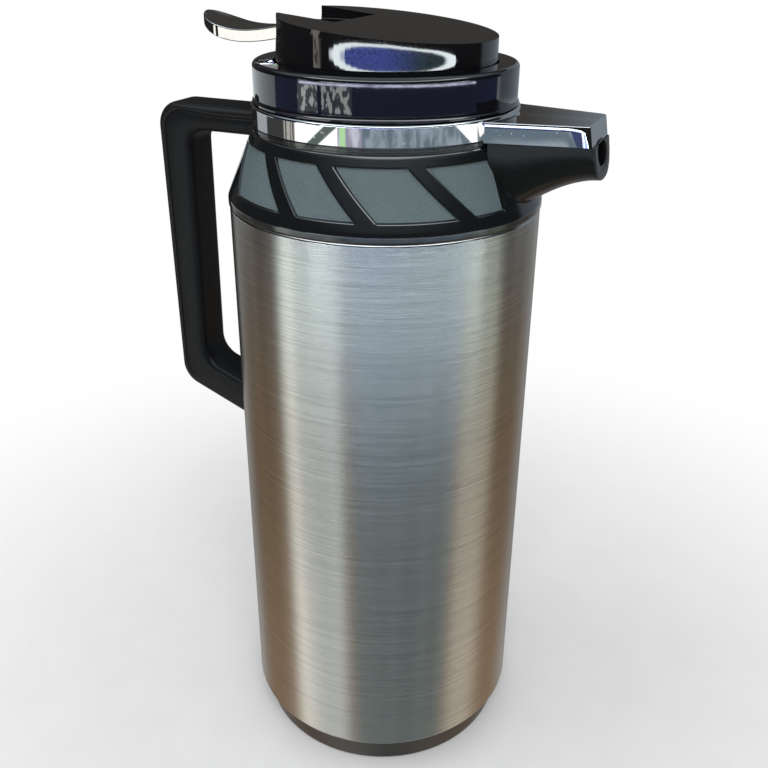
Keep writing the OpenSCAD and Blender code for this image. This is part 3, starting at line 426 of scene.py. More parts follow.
def lofted(rings):
    # Rings with equal numbers of points; each end is closed by a fan about its middle
    rings = np.asarray(rings, float)
    rows, columns = rings.shape[:2]
    middle = rings[[0, -1]].mean(1)
    cloud = np.concatenate([rings.reshape(-1, 3), middle])
    faces = gridFaces(rows, columns, False, True)
    c = np.arange(columns)
    nextOne = (c + 1) % columns
    last = (rows - 1) * columns
    fans = np.concatenate([
        np.stack([nextOne, c, np.full(columns, rows * columns), nextOne], 1),
        np.stack([last + c, last + nextOne, np.full(columns, rows * columns + 1), last + c], 1)])
    return cloud, faces.tolist() + [face[:3] for face in fans.tolist()]


def toned(tint, gain, lift=0.0):
    return tuple(min(1.0, t * gain + lift) for t in tint)


def brushedSteel(name, tint=(0.60, 0.595, 0.585), rough=0.25):
    # Hairlines run round the axis: noise drawn out along the circumference, fine in height
    f = Finish(name)
    fine = f.noise((20, 20, 5600), detail=2.0)
    broad = f.noise((5, 5, 1300), detail=2.0)
    cloud = f.noise((7, 7, 10), detail=3.0)
    lines = fine * 0.8 + broad * 0.2
    colour = f.blend(lines.rise(0.3, 0.7), toned(tint, 0.84), toned(tint, 1.12))
    return f.surface(Base_Color=colour, Metallic=1.0, Anisotropic=0.72, Anisotropic_Rotation=0.25,
                     Roughness=(broad - 0.5) * 0.03 + (cloud - 0.5) * 0.04 + rough,
                     Normal=f.bump(fine, 0.08, 0.00008))


def chromePlate(name, rough=0.012):
    f = Finish(name)
    smear = f.noise((22, 22, 30), detail=4.0, roughness=0.6)
    sag = f.noise((38, 38, 38), detail=1.0)
    specks = f.noise((900, 900, 900), detail=1.0).rise(0.70, 0.80)
    colour = f.blend(specks * 0.35, (0.80, 0.81, 0.82), (0.55, 0.55, 0.55))
    return f.surface(Base_Color=colour, Metallic=1.0,
                     Roughness=smear.rise(0.45, 0.75, rough, rough + 0.018) + specks * 0.15,
                     Normal=f.bump(sag, 0.03, 0.0004))


def mouldedPlastic(name, tint, rough, peel=0.12, grain=0.0, grainSize=1400.0, light=1.25,
                   coat=0.0, index=1.5):
    # Orange peel, a finer grain, and slow changes of gloss and tone
    f = Finish(name)
    slow = f.noise((16, 16, 16), detail=3.0)
    wave = f.noise((170, 170, 170), detail=2.0)
    dots = f.node("TexVoronoi", {"feature": "F1"}, {"Vector": f.place(), "Scale": grainSize})
    scuffs = f.noise((60, 60, 900), detail=5.0, roughness=0.7).rise(0.62, 0.72)
    normal = f.bump(wave, peel, 0.0004)
    if grain:
        normal = f.bump(dots, grain, 0.00035, normal)
    colour = f.blend(slow.rise(0.3, 0.7) * 0.7 + scuffs * 0.2, tint, toned(tint, light, 0.001))
    gloss = slow.rise(0.3, 0.7, rough * 0.88, rough * 1.12) + scuffs * 0.04
    return f.surface(Base_Color=colour, Roughness=gloss, IOR=index, Coat_Weight=coat,
                     Coat_Roughness=0.012, Normal=normal)


def siliconeRubber(name, tint, rough=0.55):
    f = Finish(name)
    soft = f.noise((30, 30, 30), detail=3.0)
    fine = f.noise((1500, 1500, 1500), detail=2.0)
    colour = f.blend(soft.rise(0.3, 0.7), tint, toned(tint, 0.86))
    return f.surface(Base_Color=colour, Roughness=soft.rise(0.3, 0.7, rough - 0.05, rough + 0.07),
                     Normal=f.bump(fine, 0.15, 0.0002))


def silveredGlass(name):
    f = Finish(name)
    streaks = f.noise((14, 14, 60), detail=3.0)
    colour = f.blend(streaks.rise(0.35, 0.7), (0.83, 0.85, 0.86), (0.72, 0.75, 0.77))
    return f.surface(Base_Color=colour, Metallic=1.0, Coat_Weight=0.6,
                     Roughness=streaks.rise(0.3, 0.8, 0.03, 0.10),
                     Normal=f.bump(f.noise((55, 55, 35), detail=1.0), 0.06, 0.001))


def plainMetal(name, tint, rough, across=(300, 300, 300)):
    f = Finish(name)
    marks = f.noise(across, detail=4.0)
    return f.surface(Base_Color=f.blend(marks.rise(0.3, 0.7), tint, toned(tint, 0.8)), Metallic=1.0,
                     Roughness=marks.rise(0.3, 0.7, rough - 0.05, rough + 0.08),
                     Normal=f.bump(marks, 0.12, 0.0002))


finishes = {
    "base": mouldedPlastic("baseBlack", (0.016, 0.016, 0.018), 0.34, grain=0.10),
    "baseRing": mouldedPlastic("ringGrey", (0.05, 0.052, 0.056), 0.5, grain=0.2),
    "steel": brushedSteel("bodySteel"),
    "curl": plainMetal("curlSteel", (0.72, 0.72, 0.71), 0.14, (60, 60, 900)),
    "collar": mouldedPlastic("collarGloss", (0.006, 0.007, 0.008), 0.10, peel=0.06, coat=1.0),
    "panel": mouldedPlastic("collarGrain", (0.092, 0.126, 0.134), 0.46, grain=0.7, grainSize=2300.0,
                            light=1.35),
    "spout": mouldedPlastic("spoutGloss", (0.004, 0.004, 0.0045), 0.22, index=1.38),
    "chrome": chromePlate("trimChrome"),
    "leverChrome": chromePlate("leverChrome", 0.02),
    "grip": mouldedPlastic("gripBlack", (0.0045, 0.0047, 0.0055), 0.38, grain=0.08, index=1.28),
    "strip": mouldedPlastic("stripBlack", (0.006, 0.0062, 0.007), 0.38, grain=0.10, index=1.32),
    "lid": mouldedPlastic("lidGloss", (0.004, 0.004, 0.005), 0.02, peel=0.008, coat=1.0),
    "ring": mouldedPlastic("ringGloss", (0.004, 0.004, 0.006), 0.02, peel=0.008, coat=1.0),
    "inner": mouldedPlastic("innerGrey", (0.030, 0.032, 0.036), 0.32, grain=0.15),
    "bracket": mouldedPlastic("bracketGrey", (0.05, 0.052, 0.057), 0.42, grain=0.2),
    "stem": mouldedPlastic("stemPlain", (0.70, 0.68, 0.62), 0.40, grain=0.05, light=1.05),
    "silicone": siliconeRubber("sealSilicone", (0.74, 0.71, 0.65)),
    "valveSeal": siliconeRubber("valveSilicone", (0.50, 0.13, 0.07)),
    "cushion": siliconeRubber("cushionRubber", (0.07, 0.072, 0.076), 0.7),
    "well": mouldedPlastic("wellBlack", (0.014, 0.014, 0.015), 0.24, peel=0.08, light=1.3),
    "glassOuter": silveredGlass("glassOuterSilver"),
    "glassInner": silveredGlass("glassInnerSilver"),
    "plate": plainMetal("pressedPlate", (0.50, 0.51, 0.52), 0.36),
    "screw": plainMetal("screwSteel", (0.58, 0.58, 0.57), 0.28, (500, 500, 500)),
    "spring": plainMetal("springWire", (0.55, 0.55, 0.54), 0.25, (900, 900, 900)),
}

dressing = {
    "base_cup": "base", "base_ring": "baseRing", "flask_cushion": "cushion", "steel_shell": "steel",
    "flask_outer": "glassOuter", "flask_inner": "glassInner", "mouth_gasket": "silicone",
    "stopper_well": "well", "shoulder_collar": "collar", "pour_spout": "spout", "chrome_trim": "chrome",
    "handle_grip": "grip", "handle_cover": "strip", "handle_backplate": "plate", "handle_screws": "screw",
    "stopper_body": "inner", "stopper_gasket": "silicone", "neck_seal": "silicone",
    "stem_seal": "silicone", "valve_stem": "stem", "valve_seal": "valveSeal", "valve_spring": "spring",
    "lever_bracket": "bracket", "bracket_screws": "screw", "lever_pin": "spring",
    "thumb_lever": "leverChrome", "lock_ring": "ring", "upper_cap": "lid"}
for name, finish in dressing.items():
    node = nodes[name]
    node.data.materials.clear()
    node.data.materials.append(finishes[finish])
print("finishes made:", len(finishes))


steelBody = {"foot": 60.0, "top": 59.6, "low": 14.0, "high": 244.0, "curl": 1.2, "wall": 0.6}


def makeSteelBody(s):
    # Straight slightly tapered wall with a quarter-round curl at each end, and the wall's inner face
    curl, thin = s["curl"], s["curl"] - s["wall"]
    lowMiddle = s["foot"] - curl, s["low"] + curl
    highMiddle = s["top"] - curl, s["high"] - curl
    wall = turned(outline(arc(*lowMiddle, curl, -90, 0), arc(*highMiddle, curl, 0, 90),
                          arc(*highMiddle, thin, 90, 0, 6), arc(*lowMiddle, thin, 0, -90, 6)), 320)
    heights = wall[0].reshape(-1, 3)[:, 2][wall[1]].mean(1)
    makePiece("steelBody", [wall], ["steel", "curl"], "steel_shell",
              marks=heights > s["high"] - curl)


baseCup = {
    "underside": ((0, 0), (22.0, 0), (22.2, 0.8), (46.8, 0.8), (47.0, 0)), "footR": 53.0, "edge": 2.6,
    "outside": ((59.0, 13.5), (58.6, 14.0), (56.0, 14.0), (56.0, 21.4), (55.4, 22.0), (53.6, 22.0)),
    "inside": ((53.6, 6.2), (50.6, 3.2), (22.45, 3.2), (22.45, 7.2), (20.05, 7.2), (20.05, 3.2),
               (0, 3.2))}


def makeBaseCup(s):
    # Section of the cup in points of [radius, height], from the underside's centre round to the floor's
    foot = arc(s["footR"], s["edge"], s["edge"], -90, -12, 10)
    profile = outline(s["underside"], foot, s["outside"], s["inside"])
    makePiece("baseCup", [turned(profile, closed=False)], ["base"], "base_cup")


makeSteelBody(steelBody)
makeBaseCup(baseCup)
print("steel body and base made")


lockRing = {
    "inside": ((40.9, 272.3), (42.6, 272.3), (42.6, 292.8), (46.2, 292.8), (46.2, 280.8)),
    "flare": ((48.7, 280.8), (48.9, 281.0), (48.9, 281.6), (48.55, 282.05)),
    "wall": ((48.4, 282.7), (48.4, 282.9), (48.4, 283.2), (48.4, 292.9), (48.4, 293.1)),
    "edge": (1.8, 1.7), "edgeAt": (46.6, 293.3), "top": ((41.2, 295.0), (40.9, 294.7))}

chromeRing = {
    "foot": ((47.0, 273.3), (49.45, 273.3)),
    "wall": ((49.6, 273.45), (49.6, 273.6), (49.6, 273.8), (49.6, 279.3), (49.6, 279.5)),
    "edge": (48.8, 279.7, 0.8), "top": (47.0, 280.5)}


def makeRings(lock, chrome):
    # Each is one closed section; the extra points near the ends of a wall keep its shading true
    edge = arc(0, 0, 1, 0, 90, 16) * lock["edge"] + lock["edgeAt"]
    profile = outline(lock["inside"], lock["flare"], lock["wall"], edge, lock["top"])
    makePiece("lockRing", [turned(profile, 320)], ["ring"], "lock_ring", body="lock_ring")
    profile = outline(chrome["foot"], chrome["wall"], arc(*chrome["edge"], 0, 90), chrome["top"])
    makePiece("chromeRing", [turned(profile, 320)], ["chrome"], "chrome_trim")


makeRings(lockRing, chromeRing)


spoutForm = {
    "rootX": 44.0, "rootHalf": 20.5, "tipX": 79.2, "tipHalf": 13.0, "top": 279.5, "low": 272.5,
    "keel": 260.0, "sweep": 1.7, "lean": 10.0, "leanFrom": 6.0, "edge": 0.35, "lowEdge": 0.12,
    "cornerR": 1.1, "wall": 1.6, "gap": 0.2, "planX": 45.0, "startX": 47.0, "endX": 83.2, "footX": 54.5,
    "footZ": 246.6, "power": 2.7, "proud": 0.05, "endProud": 0.45, "boreR": 4.6, "boreSide": 1.8,
    "boreZ": 268.8, "boreGap": 0.02, "mouthDrop": 0.6,
    "endFace": ((0.0, 0.35), (0.03, 0.12), (0.07, 0.0), (0.5, 0.0), (0.93, 0.0), (0.98, 0.12),
                (1.0, 0.5), (1.0, 6.0))}


def spoutHalf(x, s=spoutForm):
    return s["rootHalf"] + (s["tipHalf"] - s["rootHalf"]) * (x - s["rootX"]) / (s["tipX"] - s["rootX"])


def coverPlan(s, count=26):
    # Plan from the right root round the tip's corners to the left root, with outward normals
    turn = math.atan2(s["rootHalf"] - s["tipHalf"], s["tipX"] - s["rootX"])
    r, centreY = s["cornerR"], s["tipHalf"] - s["cornerR"]
    sideX = np.linspace(s["planX"], s["tipX"] - r - 0.4, count)
    side = np.stack([sideX, spoutHalf(sideX)], 1)
    sideNormal = np.tile([math.sin(turn), math.cos(turn)], (count, 1))
    bend = np.linspace(math.pi / 2 - turn, 0, 9)
    cornerNormal = np.stack([np.cos(bend), np.sin(bend)], 1)
    corner = np.array([s["tipX"] - r, centreY]) + r * cornerNormal
    frontY = np.linspace(centreY, 0, 14)[1:]
    front = np.stack([np.full(len(frontY), s["tipX"]), frontY], 1)
    frontNormal = np.tile([1.0, 0.0], (len(frontY), 1))
    half = np.concatenate([side, corner, front])
    normal = np.concatenate([sideNormal, cornerNormal, frontNormal])
    flip = np.array([1.0, -1.0])
    return [np.concatenate([side[:-1], side[::-1] * flip]) for side in (half, normal)]


def makeSpoutCover(s):
    # At each plan point the section runs up the wall, over a rounded edge and in to the middle
    plan, normals = coverPlan(s)
    edge, lowEdge, wall, wallTop = s["edge"], s["lowEdge"], s["wall"], s["top"] - s["edge"]
    beside = np.maximum(np.abs(plan[:, 1]) - s["boreSide"], 0)
    arch = s["boreZ"] + np.sqrt(np.maximum(s["boreR"] ** 2 - beside ** 2, 0))
    low = np.where(plan[:, 0] > s["tipX"] - 0.3, np.maximum(s["low"], arch), s["low"])
    nearTip = np.clip((plan[:, 0] - s["tipX"] + s["leanFrom"]) / s["leanFrom"], 0, 1)
    lean = math.tan(math.radians(s["lean"])) * nearTip
    rows = []

    def row(z, inset):
        x = plan[:, 0] - normals[:, 0] * inset + lean * (s["top"] - z)
        y = plan[:, 1] - normals[:, 1] * inset
        rows.append(np.stack([x, y, np.broadcast_to(z, x.shape)], 1))

    def inward(share, farthest):
        inner = middle.copy()
        inner[:, 1] *= 1 - share
        inner[:, 0] = np.minimum(inner[:, 0], farthest)
        rows.append(inner)
        return inner

    row(low, wall)
    row(low, lowEdge)
    for share in (0.0, 0.25, 0.5, 0.75):
        row(low + lowEdge + (wallTop - low - lowEdge) * share, 0.0)
    for bend in np.radians(np.linspace(0, 90, 8)):
        row(wallTop + edge * math.sin(bend), edge * (1 - math.cos(bend)))
    middle = rows[-1].copy()
    for share in (0.4, 0.8, 1.0):
        inward(share, s["tipX"] - edge)
    # Underside, a wall's thickness below, back out to where the section began
    for share in (1.0, 0.5, 0.0):
        inner = inward(share, s["tipX"] - wall - s["gap"])
        inner[:, 1] -= np.sign(plan[:, 1]) * 0.9 * (1 - share)
        inner[:, 2] = s["top"] - wall
    rings = np.stack(rows)
    return rings, gridFaces(rings.shape[0], rings.shape[1], True, False)


makePiece("spoutCover", [makeSpoutCover(spoutForm)], ["chrome"])
print("lid ring, chrome ring and spout cover made")


def makeSpoutBody(s, count=36, steps=40):
    # Superellipse sections hang under a flat top and follow the hollow keel to the leaning end
    turns = np.linspace(0, np.pi, count + 1)
    across = np.sign(np.cos(turns)) * np.abs(np.cos(turns)) ** (2 / s["power"])
    down = np.sin(turns) ** (2 / s["power"])
    lean, tip = math.tan(math.radians(s["lean"])), s["tipX"] + s["endProud"]
    rows = []
    for x in np.linspace(s["startX"], s["endX"], steps):
        t = np.clip((x - s["footX"]) / (s["tipX"] + 3 - s["footX"]), 0, 1)
        low = s["footZ"] + (s["keel"] - s["footZ"]) * (1 - (1 - t) ** s["sweep"]) - s["proud"]
        z = s["low"] - (s["low"] - low) * down
        y = (spoutHalf(x) + s["proud"]) * across
        rows.append(np.stack([np.minimum(x, tip + (s["top"] - z) * lean), y, z], 1))
    lower = np.stack(rows)
    flat = lower[:, [-1, 0]]
    share = np.linspace(0, 1, count + 1)[None, 1:-1, None]
    rings = np.concatenate([lower, flat[:, :1] * (1 - share) + flat[:, 1:] * share], 1)
    # End face: from the outer rim, over a small rounding, in to the bore's mouth
    rim = rings[-1]
    angle = np.arctan2(rim[:, 2] - s["boreZ"] + s["mouthDrop"], rim[:, 1])
    boreR, spread = s["boreR"] + s["boreGap"], np.minimum(1, np.abs(np.cos(angle)) * 3)
    mouth = np.stack([np.sign(np.cos(angle)) * s["boreSide"] * spread + boreR * np.cos(angle),
                      s["boreZ"] + boreR * np.sin(angle)], 1)

    def endPoint(share, back):
        yz = rim[:, 1:] * (1 - share) + mouth * share
        return np.concatenate([(tip + (s["top"] - yz[:, 1]) * lean - back)[:, None], yz], 1)

    start = rings[:-1]
    start[:, :, 0] = np.minimum(start[:, :, 0], endPoint(0, 0.5)[None, :, 0])
    end = np.stack([endPoint(share, back) for share, back in s["endFace"]])
    full = np.concatenate([start, end])
    return full, gridFaces(len(full), full.shape[1], False, True)


makePiece("spoutBody", [makeSpoutBody(spoutForm)], ["spout"])
print("spout made")


handleForm = {
    "outX": -98.3, "grip": 13.4, "taper": 1.8, "half": 9.0, "rootX": -50.0, "barTop": 274.5,
    "barLow": 263.7, "cornerR": 10.0, "holeR": 6.0, "footR": 10.5, "heelR": 10.0, "slope": 21.0,
    "armT": 15.6, "span": 130.9, "bodyR": 60.0, "strip": 4.2, "edge": 3.4, "bevel": 0.5, "loop": 0.15}


def handleLines(s):
    # Outer and inner outlines in the XZ plane, station by station
    slope, turn = math.radians(s["slope"]), math.radians(90 - s["slope"])
    armTall = s["armT"] / math.cos(slope)
    armMiddle = s["barTop"] - s["span"]

    def armAt(x, side):
        return armMiddle + (-s["bodyR"] - x) * math.tan(slope) + side * armTall / 2

    innerX = s["outX"] + s["grip"]
    innerTopX = innerX + s["taper"]
    straightX = innerTopX + 2 * s["holeR"]
    heelZ = armAt(s["outX"], -1) + s["heelR"] * math.tan(turn / 2)
    notchZ = armAt(innerX, 1) + s["footR"] * math.tan(turn / 2)

    def line(barZ, cornerX, cornerR, footX, footZ, footR, side):
        return outline([s["rootX"], barZ], [straightX, barZ],
                       arc(cornerX + cornerR, barZ - cornerR, cornerR, 90, 180, 24),
                       arc(footX + footR, footZ, footR, 180, 270 - s["slope"], 20),
                       *[[x, armAt(x, side)] for x in (-s["bodyR"] - 0.1, -s["bodyR"] + 4)])

    return (line(s["barTop"], s["outX"], s["cornerR"], s["outX"], heelZ, s["heelR"], -1),
            line(s["barLow"], innerTopX, s["holeR"], innerX, notchZ, s["footR"], 1))


def handleSection(s, depth, isStrip):
    # Half sections as [depth, side]; the rounded edge falls by 1 - sin in depth and 1 - cos in width
    half, bevel, strip, edge = s["half"], s["bevel"], s["strip"], s["edge"]
    turns = np.radians(np.linspace(0, 90, 11))
    fall, width = 1 - np.sin(turns), half - edge * (1 - np.cos(turns))
    if isStrip:
        face = np.stack([(strip - 2 * bevel) * fall, width], 1)
        side = outline([strip, half - bevel], [strip - bevel * 0.7, half - bevel * 0.3],
                       [strip - bevel - s["loop"], half], face)
    else:
        face = np.stack([depth - edge * fall[::-1], width[::-1]], 1)
        side = outline(face, [strip + bevel + s["loop"], half],
                       [strip + bevel * 0.7, half - bevel * 0.3], [strip, half - bevel])
    return np.concatenate([side, side[::-1] * np.array([1.0, -1.0])])


def makeHandlePart(s, isStrip):
    outer, inner = handleLines(s)
    if isStrip:
        outer, inner = outer[:-1], inner[:-1]
    rings = []
    for o, i in zip(outer, inner):
        depth = np.linalg.norm(i - o)
        u = (i - o) / depth
        deep, side = handleSection(s, depth, isStrip).T
        rings.append(np.stack([o[0] + u[0] * deep, side, o[1] + u[1] * deep], 1))
    return lofted(rings)


makePiece("handleGrip", [makeHandlePart(handleForm, False)], ["grip"], "handle_grip", sharp=40)
makePiece("handleStrip", [makeHandlePart(handleForm, True)], ["strip"], "handle_cover", sharp=40)
print("handle made")


# "fall" is a panel's edge: how far across the soft edge, and how much of the depth is reached there.
# "lip", "lipEnd", "step" and "rimWall" are points up the skin: height over a level and distance inwards.
collarForm = {
    "lipR": 60.0, "lipTop": 246.6, "rimR": 49.6, "coneTop": 271.0, "rimTop": 273.3, "low": 244.05,
    "margin": 3.8, "depth": 0.9, "start": 20.8, "widths": (13.0, 28.0, 21.0, 28.0), "rib": 7.0,
    "slant": 17.0, "soft": 0.45, "softR": 54.0, "proud": 0.06,
    "fall": ((0.0, 0.0), (0.12, 0.03), (0.35, 0.3), (0.65, 0.8), (0.88, 0.97), (1.0, 1.0)),
    "lip": ((0.0, 0.6), (0.15, 0.2), (0.45, 0.0), (0.6, 0.0)),
    "lipEnd": ((-0.65, 0.0), (-0.5, 0.0), (0.02, 0.04)),
    "step": ((0.02, 0.4), (0.5, 0.4), (0.62, 0.05), (0.8, 0.0), (0.95, 0.0)),
    "rimWall": ((-0.4, 0.0), (-0.25, 0.0), (-0.06, 0.12), (-0.06, 1.0))}


def collarColumns(s):
    # Foot and top angle of each column, and how deep it lies; the ribs lean back by the slant
    columns = [(0.0, 0.0, 0.0)]
    softTurn = math.degrees(s["soft"] / s["softR"])

    def run(start, end, lean, endLean, count):
        level = columns[-1][2]
        for share in np.linspace(0, 1, count + 1)[1:-1]:
            top = start + lean + (end + endLean - start - lean) * share
            columns.append((start + (end - start) * share, top, level))

    foot, lastEnd, lastLean = s["start"], 0.0, 0.0
    for i, width in enumerate(s["widths"]):
        lean, end = (s["slant"] if i else 0.0), foot + width
        run(lastEnd, foot, lastLean, lean, 9 if i else 22)
        for share, fall in s["fall"]:
            columns.append((foot + softTurn * share, foot + lean + softTurn * share, fall))
        run(foot + softTurn, end - softTurn, lean, s["slant"], 26)
        for share, fall in s["fall"]:
            at = end - softTurn * (1 - share)
            columns.append((at, at + s["slant"], 1 - fall))
        foot, lastEnd, lastLean = end + s["rib"], end, s["slant"]
    run(lastEnd, 180.0, lastLean, 0.0, 30)
    columns.append((180.0, 180.0, 0.0))
    feet, tops, deep = np.array(columns).T
    mirror = slice(-2, 0, -1)
    return (np.concatenate([feet, 360 - feet[mirror]]), np.concatenate([tops, 360 - tops[mirror]]),
            np.concatenate([deep, deep[mirror]]))


def makeCollarSkin(s):
    # Rows as (height, radius, how deep a panel lies there), from the lip up to the rim and down the back
    feet, tops, deep = collarColumns(s)
    soft, lipTop, coneTop = s["soft"], s["lipTop"], s["coneTop"]
    low, high = lipTop + s["margin"], coneTop - s["margin"]

    def cone(z):
        return s["lipR"] + (z - lipTop) * (s["rimR"] - s["lipR"]) / (coneTop - lipTop)

    rows = [(s["low"] + up, s["lipR"] - back, 0.0) for up, back in s["lip"]]
    rows += [(lipTop + up, s["lipR"] - back, 0.0) for up, back in s["lipEnd"]]
    rows += [(lipTop + 0.55, cone(lipTop + 0.6), 0.0)]
    rows += [(z, cone(z), 0.0) for z in np.linspace(lipTop + 1.2, low - 0.4, 4)]
    rows += [(low + soft * a, cone(low + soft * a), b) for a, b in s["fall"]]
    rows += [(z, cone(z), 1.0) for z in np.linspace(low + soft, high - soft, 22)[1:-1]]
    rows += [(high - soft * (1 - a), cone(high - soft * (1 - a)), 1 - b) for a, b in s["fall"]]
    rows += [(z, cone(z), 0.0) for z in np.linspace(high + 0.4, coneTop - 0.5, 4)]
    rows += [(coneTop - 0.15, s["rimR"], 0.0)]
    rows += [(coneTop + up, s["rimR"] - back, 0.0) for up, back in s["step"]]
    rows += [(s["rimTop"] + up, s["rimR"] - back, 0.0) for up, back in s["rimWall"]]
    rows += [(coneTop - 1.0, s["rimR"] - 1.4, 0.0), (lipTop, s["lipR"] - 1.6, 0.0),
             (s["low"], s["lipR"] - 1.6, 0.0)]
    z, radius, sink = (column[:, None] for column in np.array(rows).T)
    share = np.clip((z - low) / (high - low), 0, 1)
    turns = np.radians(feet[None] * (1 - share) + tops[None] * share)
    proud = np.where((z > lipTop + 0.1) & (z < coneTop - 0.1), s["proud"], 0.0)
    sunk = sink * deep[None]
    r = radius + proud - sunk * s["depth"]
    cloud = np.stack([r * np.cos(turns), r * np.sin(turns), np.broadcast_to(z, r.shape)], -1)
    faces = gridFaces(len(rows), len(feet), True, True)
    return cloud, faces, (sunk > 0.9).reshape(-1)[faces].all(1).astype(int)


cloud, faces, inPanel = makeCollarSkin(collarForm)
makePiece("collarSkin", [(cloud, faces)], ["collar", "panel"], "shoulder_collar",
          sharp=50, marks=inPanel)
print("collar made")


# "loops" are cuts through the wall, each a height and the plane's way up, that keep its shading true
# beside the rounded rim, which slopes, and beside the foot.
capForm = {
    "rim": 1.5, "radius": 40.4, "ringTop": 295.0, "leanLow": 0.8, "leanHigh": 2.0, "leanFrom": 20.0,
    "leanFoot": 0.5, "riseFoot": 1.0, "rise": 11.0, "flat": 0.4, "sharp": 30.0, "slotShare": 0.25,
    "wallFoot": 2.5, "slotFoot": 2.0, "slack": 0.3,
    "loops": ((304.8, 0.0941, 0.9956), (304.3, 0.0941, 0.9956), (295.5, 0.0, 1.0), (296.0, 0.0, 1.0))}


def capWeight(point, s):
    # Share of the rounding that an edge gets: whole round the rim, less in the slot, none lower down
    x, y, z = point / millimetre
    if math.hypot(x, y) > s["radius"] - s["slack"] and z > s["ringTop"] + s["wallFoot"]:
        return 1.0
    return s["slotShare"] if z > s["ringTop"] + s["slotFoot"] else 0.0


def leanCap(points, s):
    # On the handle's side the wall leans in, more towards the top and further from the axis
    up = points[:, 2] - s["ringTop"]
    rise = np.clip((up - s["riseFoot"]) / s["rise"], 0, 1)
    away = np.clip((-points[:, 0] - s["leanFrom"]) / (s["radius"] - s["leanFrom"]), 0, 1)
    lean = np.where(up > s["leanFoot"], s["leanLow"] + (s["leanHigh"] - s["leanLow"]) * rise, 0.0)
    points[:, 0] += lean * away * away * (3 - 2 * away)
    return points


def makeLidCap(s):
    # Welded copy of the CAD cap with its flats rejoined, its wall cut and leant, and its rim rounded
    mesh = nodes["upper_cap"].data.copy()
    mesh.name = "lidCap"
    shape = bmesh.new()
    shape.from_mesh(mesh)
    bmesh.ops.remove_doubles(shape, verts=shape.verts, dist=2e-6)
    flat = math.radians(s["flat"])
    bmesh.ops.dissolve_limit(shape, angle_limit=flat, verts=shape.verts, edges=shape.edges)
    for height, across, up in s["loops"]:
        everything = shape.verts[:] + shape.edges[:] + shape.faces[:]
        bmesh.ops.bisect_plane(shape, geom=everything, dist=1e-7,
                               plane_co=Vector((0, 0, height)) * millimetre, plane_no=(across, 0, up))
    weights = shape.edges.layers.float.new("bevel_weight_edge")
    for edge in shape.edges:
        if len(edge.link_faces) == 2 and edge.calc_face_angle(0) > math.radians(s["sharp"]):
            edge[weights] = capWeight((edge.verts[0].co + edge.verts[1].co) / 2, s)
    shape.to_mesh(mesh)
    shape.free()
    points = np.empty(len(mesh.vertices) * 3)
    mesh.vertices.foreach_get("co", points)
    mesh.vertices.foreach_set("co", (leanCap(points.reshape(-1, 3) / millimetre, s) * millimetre).ravel())
    mesh.materials.clear()
    mesh.materials.append(finishes["lid"])
    mesh.shade_smooth()
    mesh.set_sharp_from_angle(angle=math.radians(s["sharp"]))
    piece = putInScene("lidCap", mesh)
    rounding = piece.modifiers.new("rounding", "BEVEL")
    rounding.limit_method, rounding.width, rounding.segments = "WEIGHT", s["rim"] * millimetre, 5
    even = piece.modifiers.new("evenNormals", "WEIGHTED_NORMAL")
    even.mode, even.weight, even.keep_sharp = "FACE_AREA_WITH_ANGLE", 100, True
    handOver(piece, "stopper", "upper_cap")


makeLidCap(capForm)
print("cap made")


def makeSpring():
    # Copy of the CAD coil, carried with the stopper
    piece = putInScene("valveSpring", nodes["valve_spring"].data.copy())
    handOver(piece, "stopper", "valve_spring")
    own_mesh(piece)


makeSpring()
print("spring made")


leverForm = {
    "tip": 75.2, "padR": 11.0, "rootHalf": 15.0, "rootD": 36.0, "endD": 19.0, "top": 295.0, "skirt": 4.6,
    "tuck": 0.25, "dish": 1.2, "curve": (11.0, 8.5, 6.7, 13.8), "edge": 0.35, "wall": 1.6, "thin": 0.4,
    "pivotX": -22.0, "pivotZ": 298.0, "hubR": 3.6, "hubTop": 303.4, "hubFront": 2.0, "armHalf": 11.7,
    "armEnd": -3.4, "armDrop": 0.35, "forkHalf": 6.4, "forkX": (-4.5, 0.8), "forkTop": 296.0,
    "forkT": 3.0, "slotHalf": 3.2, "pinEdge": 0.3}


def leverTop(d, s):
    t = np.clip((d - s["rootD"]) / (s["tip"] - s["rootD"]), 0, 1)
    a, b, c, e = s["curve"]
    first, last = (1 - t) ** 3 * a + 3 * (1 - t) ** 2 * t * b, 3 * (1 - t) * t * t * c + t ** 3 * e
    return s["top"] + first + last


def leverHalf(d, s):
    padD = s["tip"] - s["padR"]
    straight = s["padR"] + (s["rootHalf"] - s["padR"]) * np.clip((padD - d) / (padD - s["rootD"]), 0, 1)
    rounded = np.sqrt(np.maximum(s["padR"] ** 2 - np.maximum(d - padD, 0) ** 2, 0.0))
    return np.where(d > padD, rounded, straight)


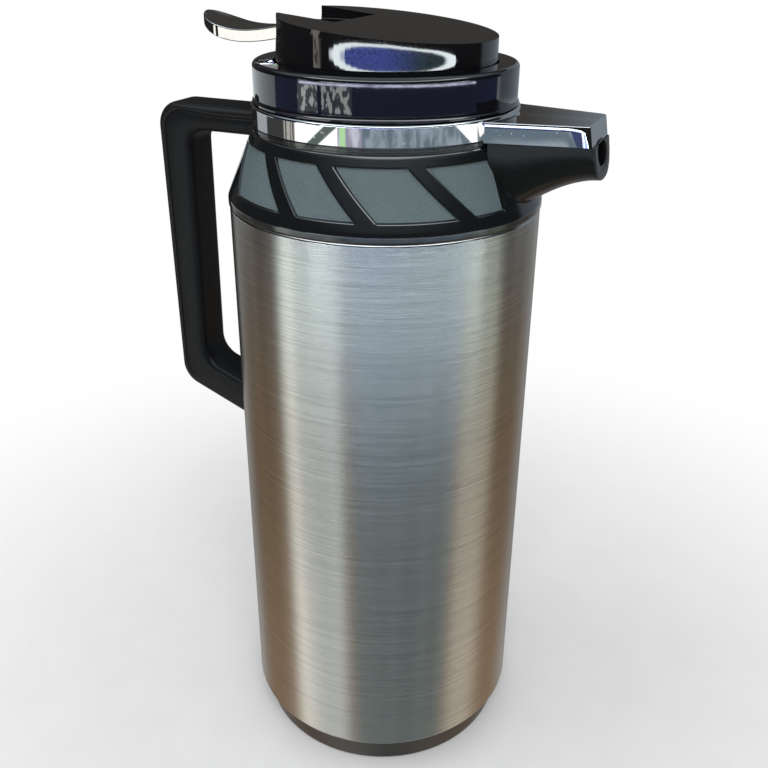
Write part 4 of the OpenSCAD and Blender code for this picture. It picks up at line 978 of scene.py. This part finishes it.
def makeLeverPad(s):
    # Sections across the lever: a dished top, a small rounded edge, the skirt and the pocket beneath
    padD = s["tip"] - s["padR"]
    pad = padD + s["padR"] * np.sin(np.radians(np.linspace(88, 2, 30)))
    arm, root = np.linspace(padD, s["rootD"], 26), np.linspace(s["rootD"], s["endD"], 8)[1:]
    rings = []
    for d in np.concatenate([pad, arm, root]):
        half = float(leverHalf(d, s))
        top = float(leverTop(np.array(d), s))
        edge, wall = min(s["edge"], half * s["thin"]), min(s["wall"], half * s["thin"])
        low = top - s["skirt"] * (1 - s["tuck"] * max(0.0, d - padD) / s["padR"])
        roof = top - s["dish"] - s["wall"] if half > 3.0 else low + 0.05
        across = np.linspace(-1, 1, 25) * (half - edge)
        dish = top - s["dish"] * min(1.0, half / s["padR"]) * (1 - (across / half) ** 2)
        dish[[0, -1]] = dish[[1, -2]] + 0.02
        bend = np.radians(np.linspace(90, 0, 6))[1:]
        shoulder = dish[-1] - edge
        rightEdge = np.stack([half - edge + edge * np.cos(bend), shoulder + edge * np.sin(bend)], 1)
        inner = half - wall
        under = outline(
            [half, shoulder - 0.15], [half, shoulder - 0.4], [half, low + 0.7], [half, low + 0.5],
            [half, low + 0.3], [half - 0.3, low], [inner + 0.2, low], [inner, low + 0.2],
            [inner, max(roof - 0.3, low + 0.02)], [inner - 0.3, roof])
        flip = np.array([-1.0, 1.0])
        section = outline(np.stack([across, dish], 1), rightEdge, under, under[::-1] * flip,
                          rightEdge[::-1] * flip)
        rings.append(np.stack([np.full(len(section), -d), section[:, 0], section[:, 1]], 1))
    return lofted(rings)


def barAlongY(x, z, radius, half, edge, steps=40):
    # Round bar across the lever, closed at both ends
    across, up = circle(steps).T
    ends = (radius - edge, -half), (radius, edge - half), (radius, half - edge), (radius - edge, half)
    return lofted([np.stack([x + r * across, np.full(steps, y), z + r * up], 1) for r, y in ends])


def block(x0, x1, y0, y1, z0, z1, edge=0.35):
    # Box with chamfered long edges, as eight-sided rings carried along X
    def ring(x, inset):
        ys, ye, zs, ze = y0 + inset, y1 - inset, z0 + inset, z1 - inset
        return [(x, ys + edge, zs), (x, ye - edge, zs), (x, ye, zs + edge), (x, ye, ze - edge),
                (x, ye - edge, ze), (x, ys + edge, ze), (x, ys, ze - edge), (x, ys, zs + edge)]
    return lofted([ring(x0, edge * 0.6), ring(x0 + edge, 0), ring(x1 - edge, 0), ring(x1, edge * 0.6)])


def makeLever(s):
    x, z, arm = s["pivotX"], s["pivotZ"], s["forkTop"] - s["forkT"]
    parts = [makeLeverPad(s), barAlongY(x, z, s["hubR"], s["armHalf"], s["pinEdge"]),
             block(x - s["hubR"], x + s["hubFront"], -s["armHalf"], s["armHalf"], z, s["hubTop"]),
             block(x, s["armEnd"], -s["forkHalf"], s["forkHalf"], arm, s["forkTop"] - s["armDrop"])]
    for y0, y1 in ((-s["forkHalf"], -s["slotHalf"]), (s["slotHalf"], s["forkHalf"])):
        parts.append(block(*s["forkX"], y0, y1, arm, s["forkTop"]))
    makePiece("thumbLever", parts, ["leverChrome"], "thumb_lever", body="lever", sharp=38)


makeLever(leverForm)
print("lever made")
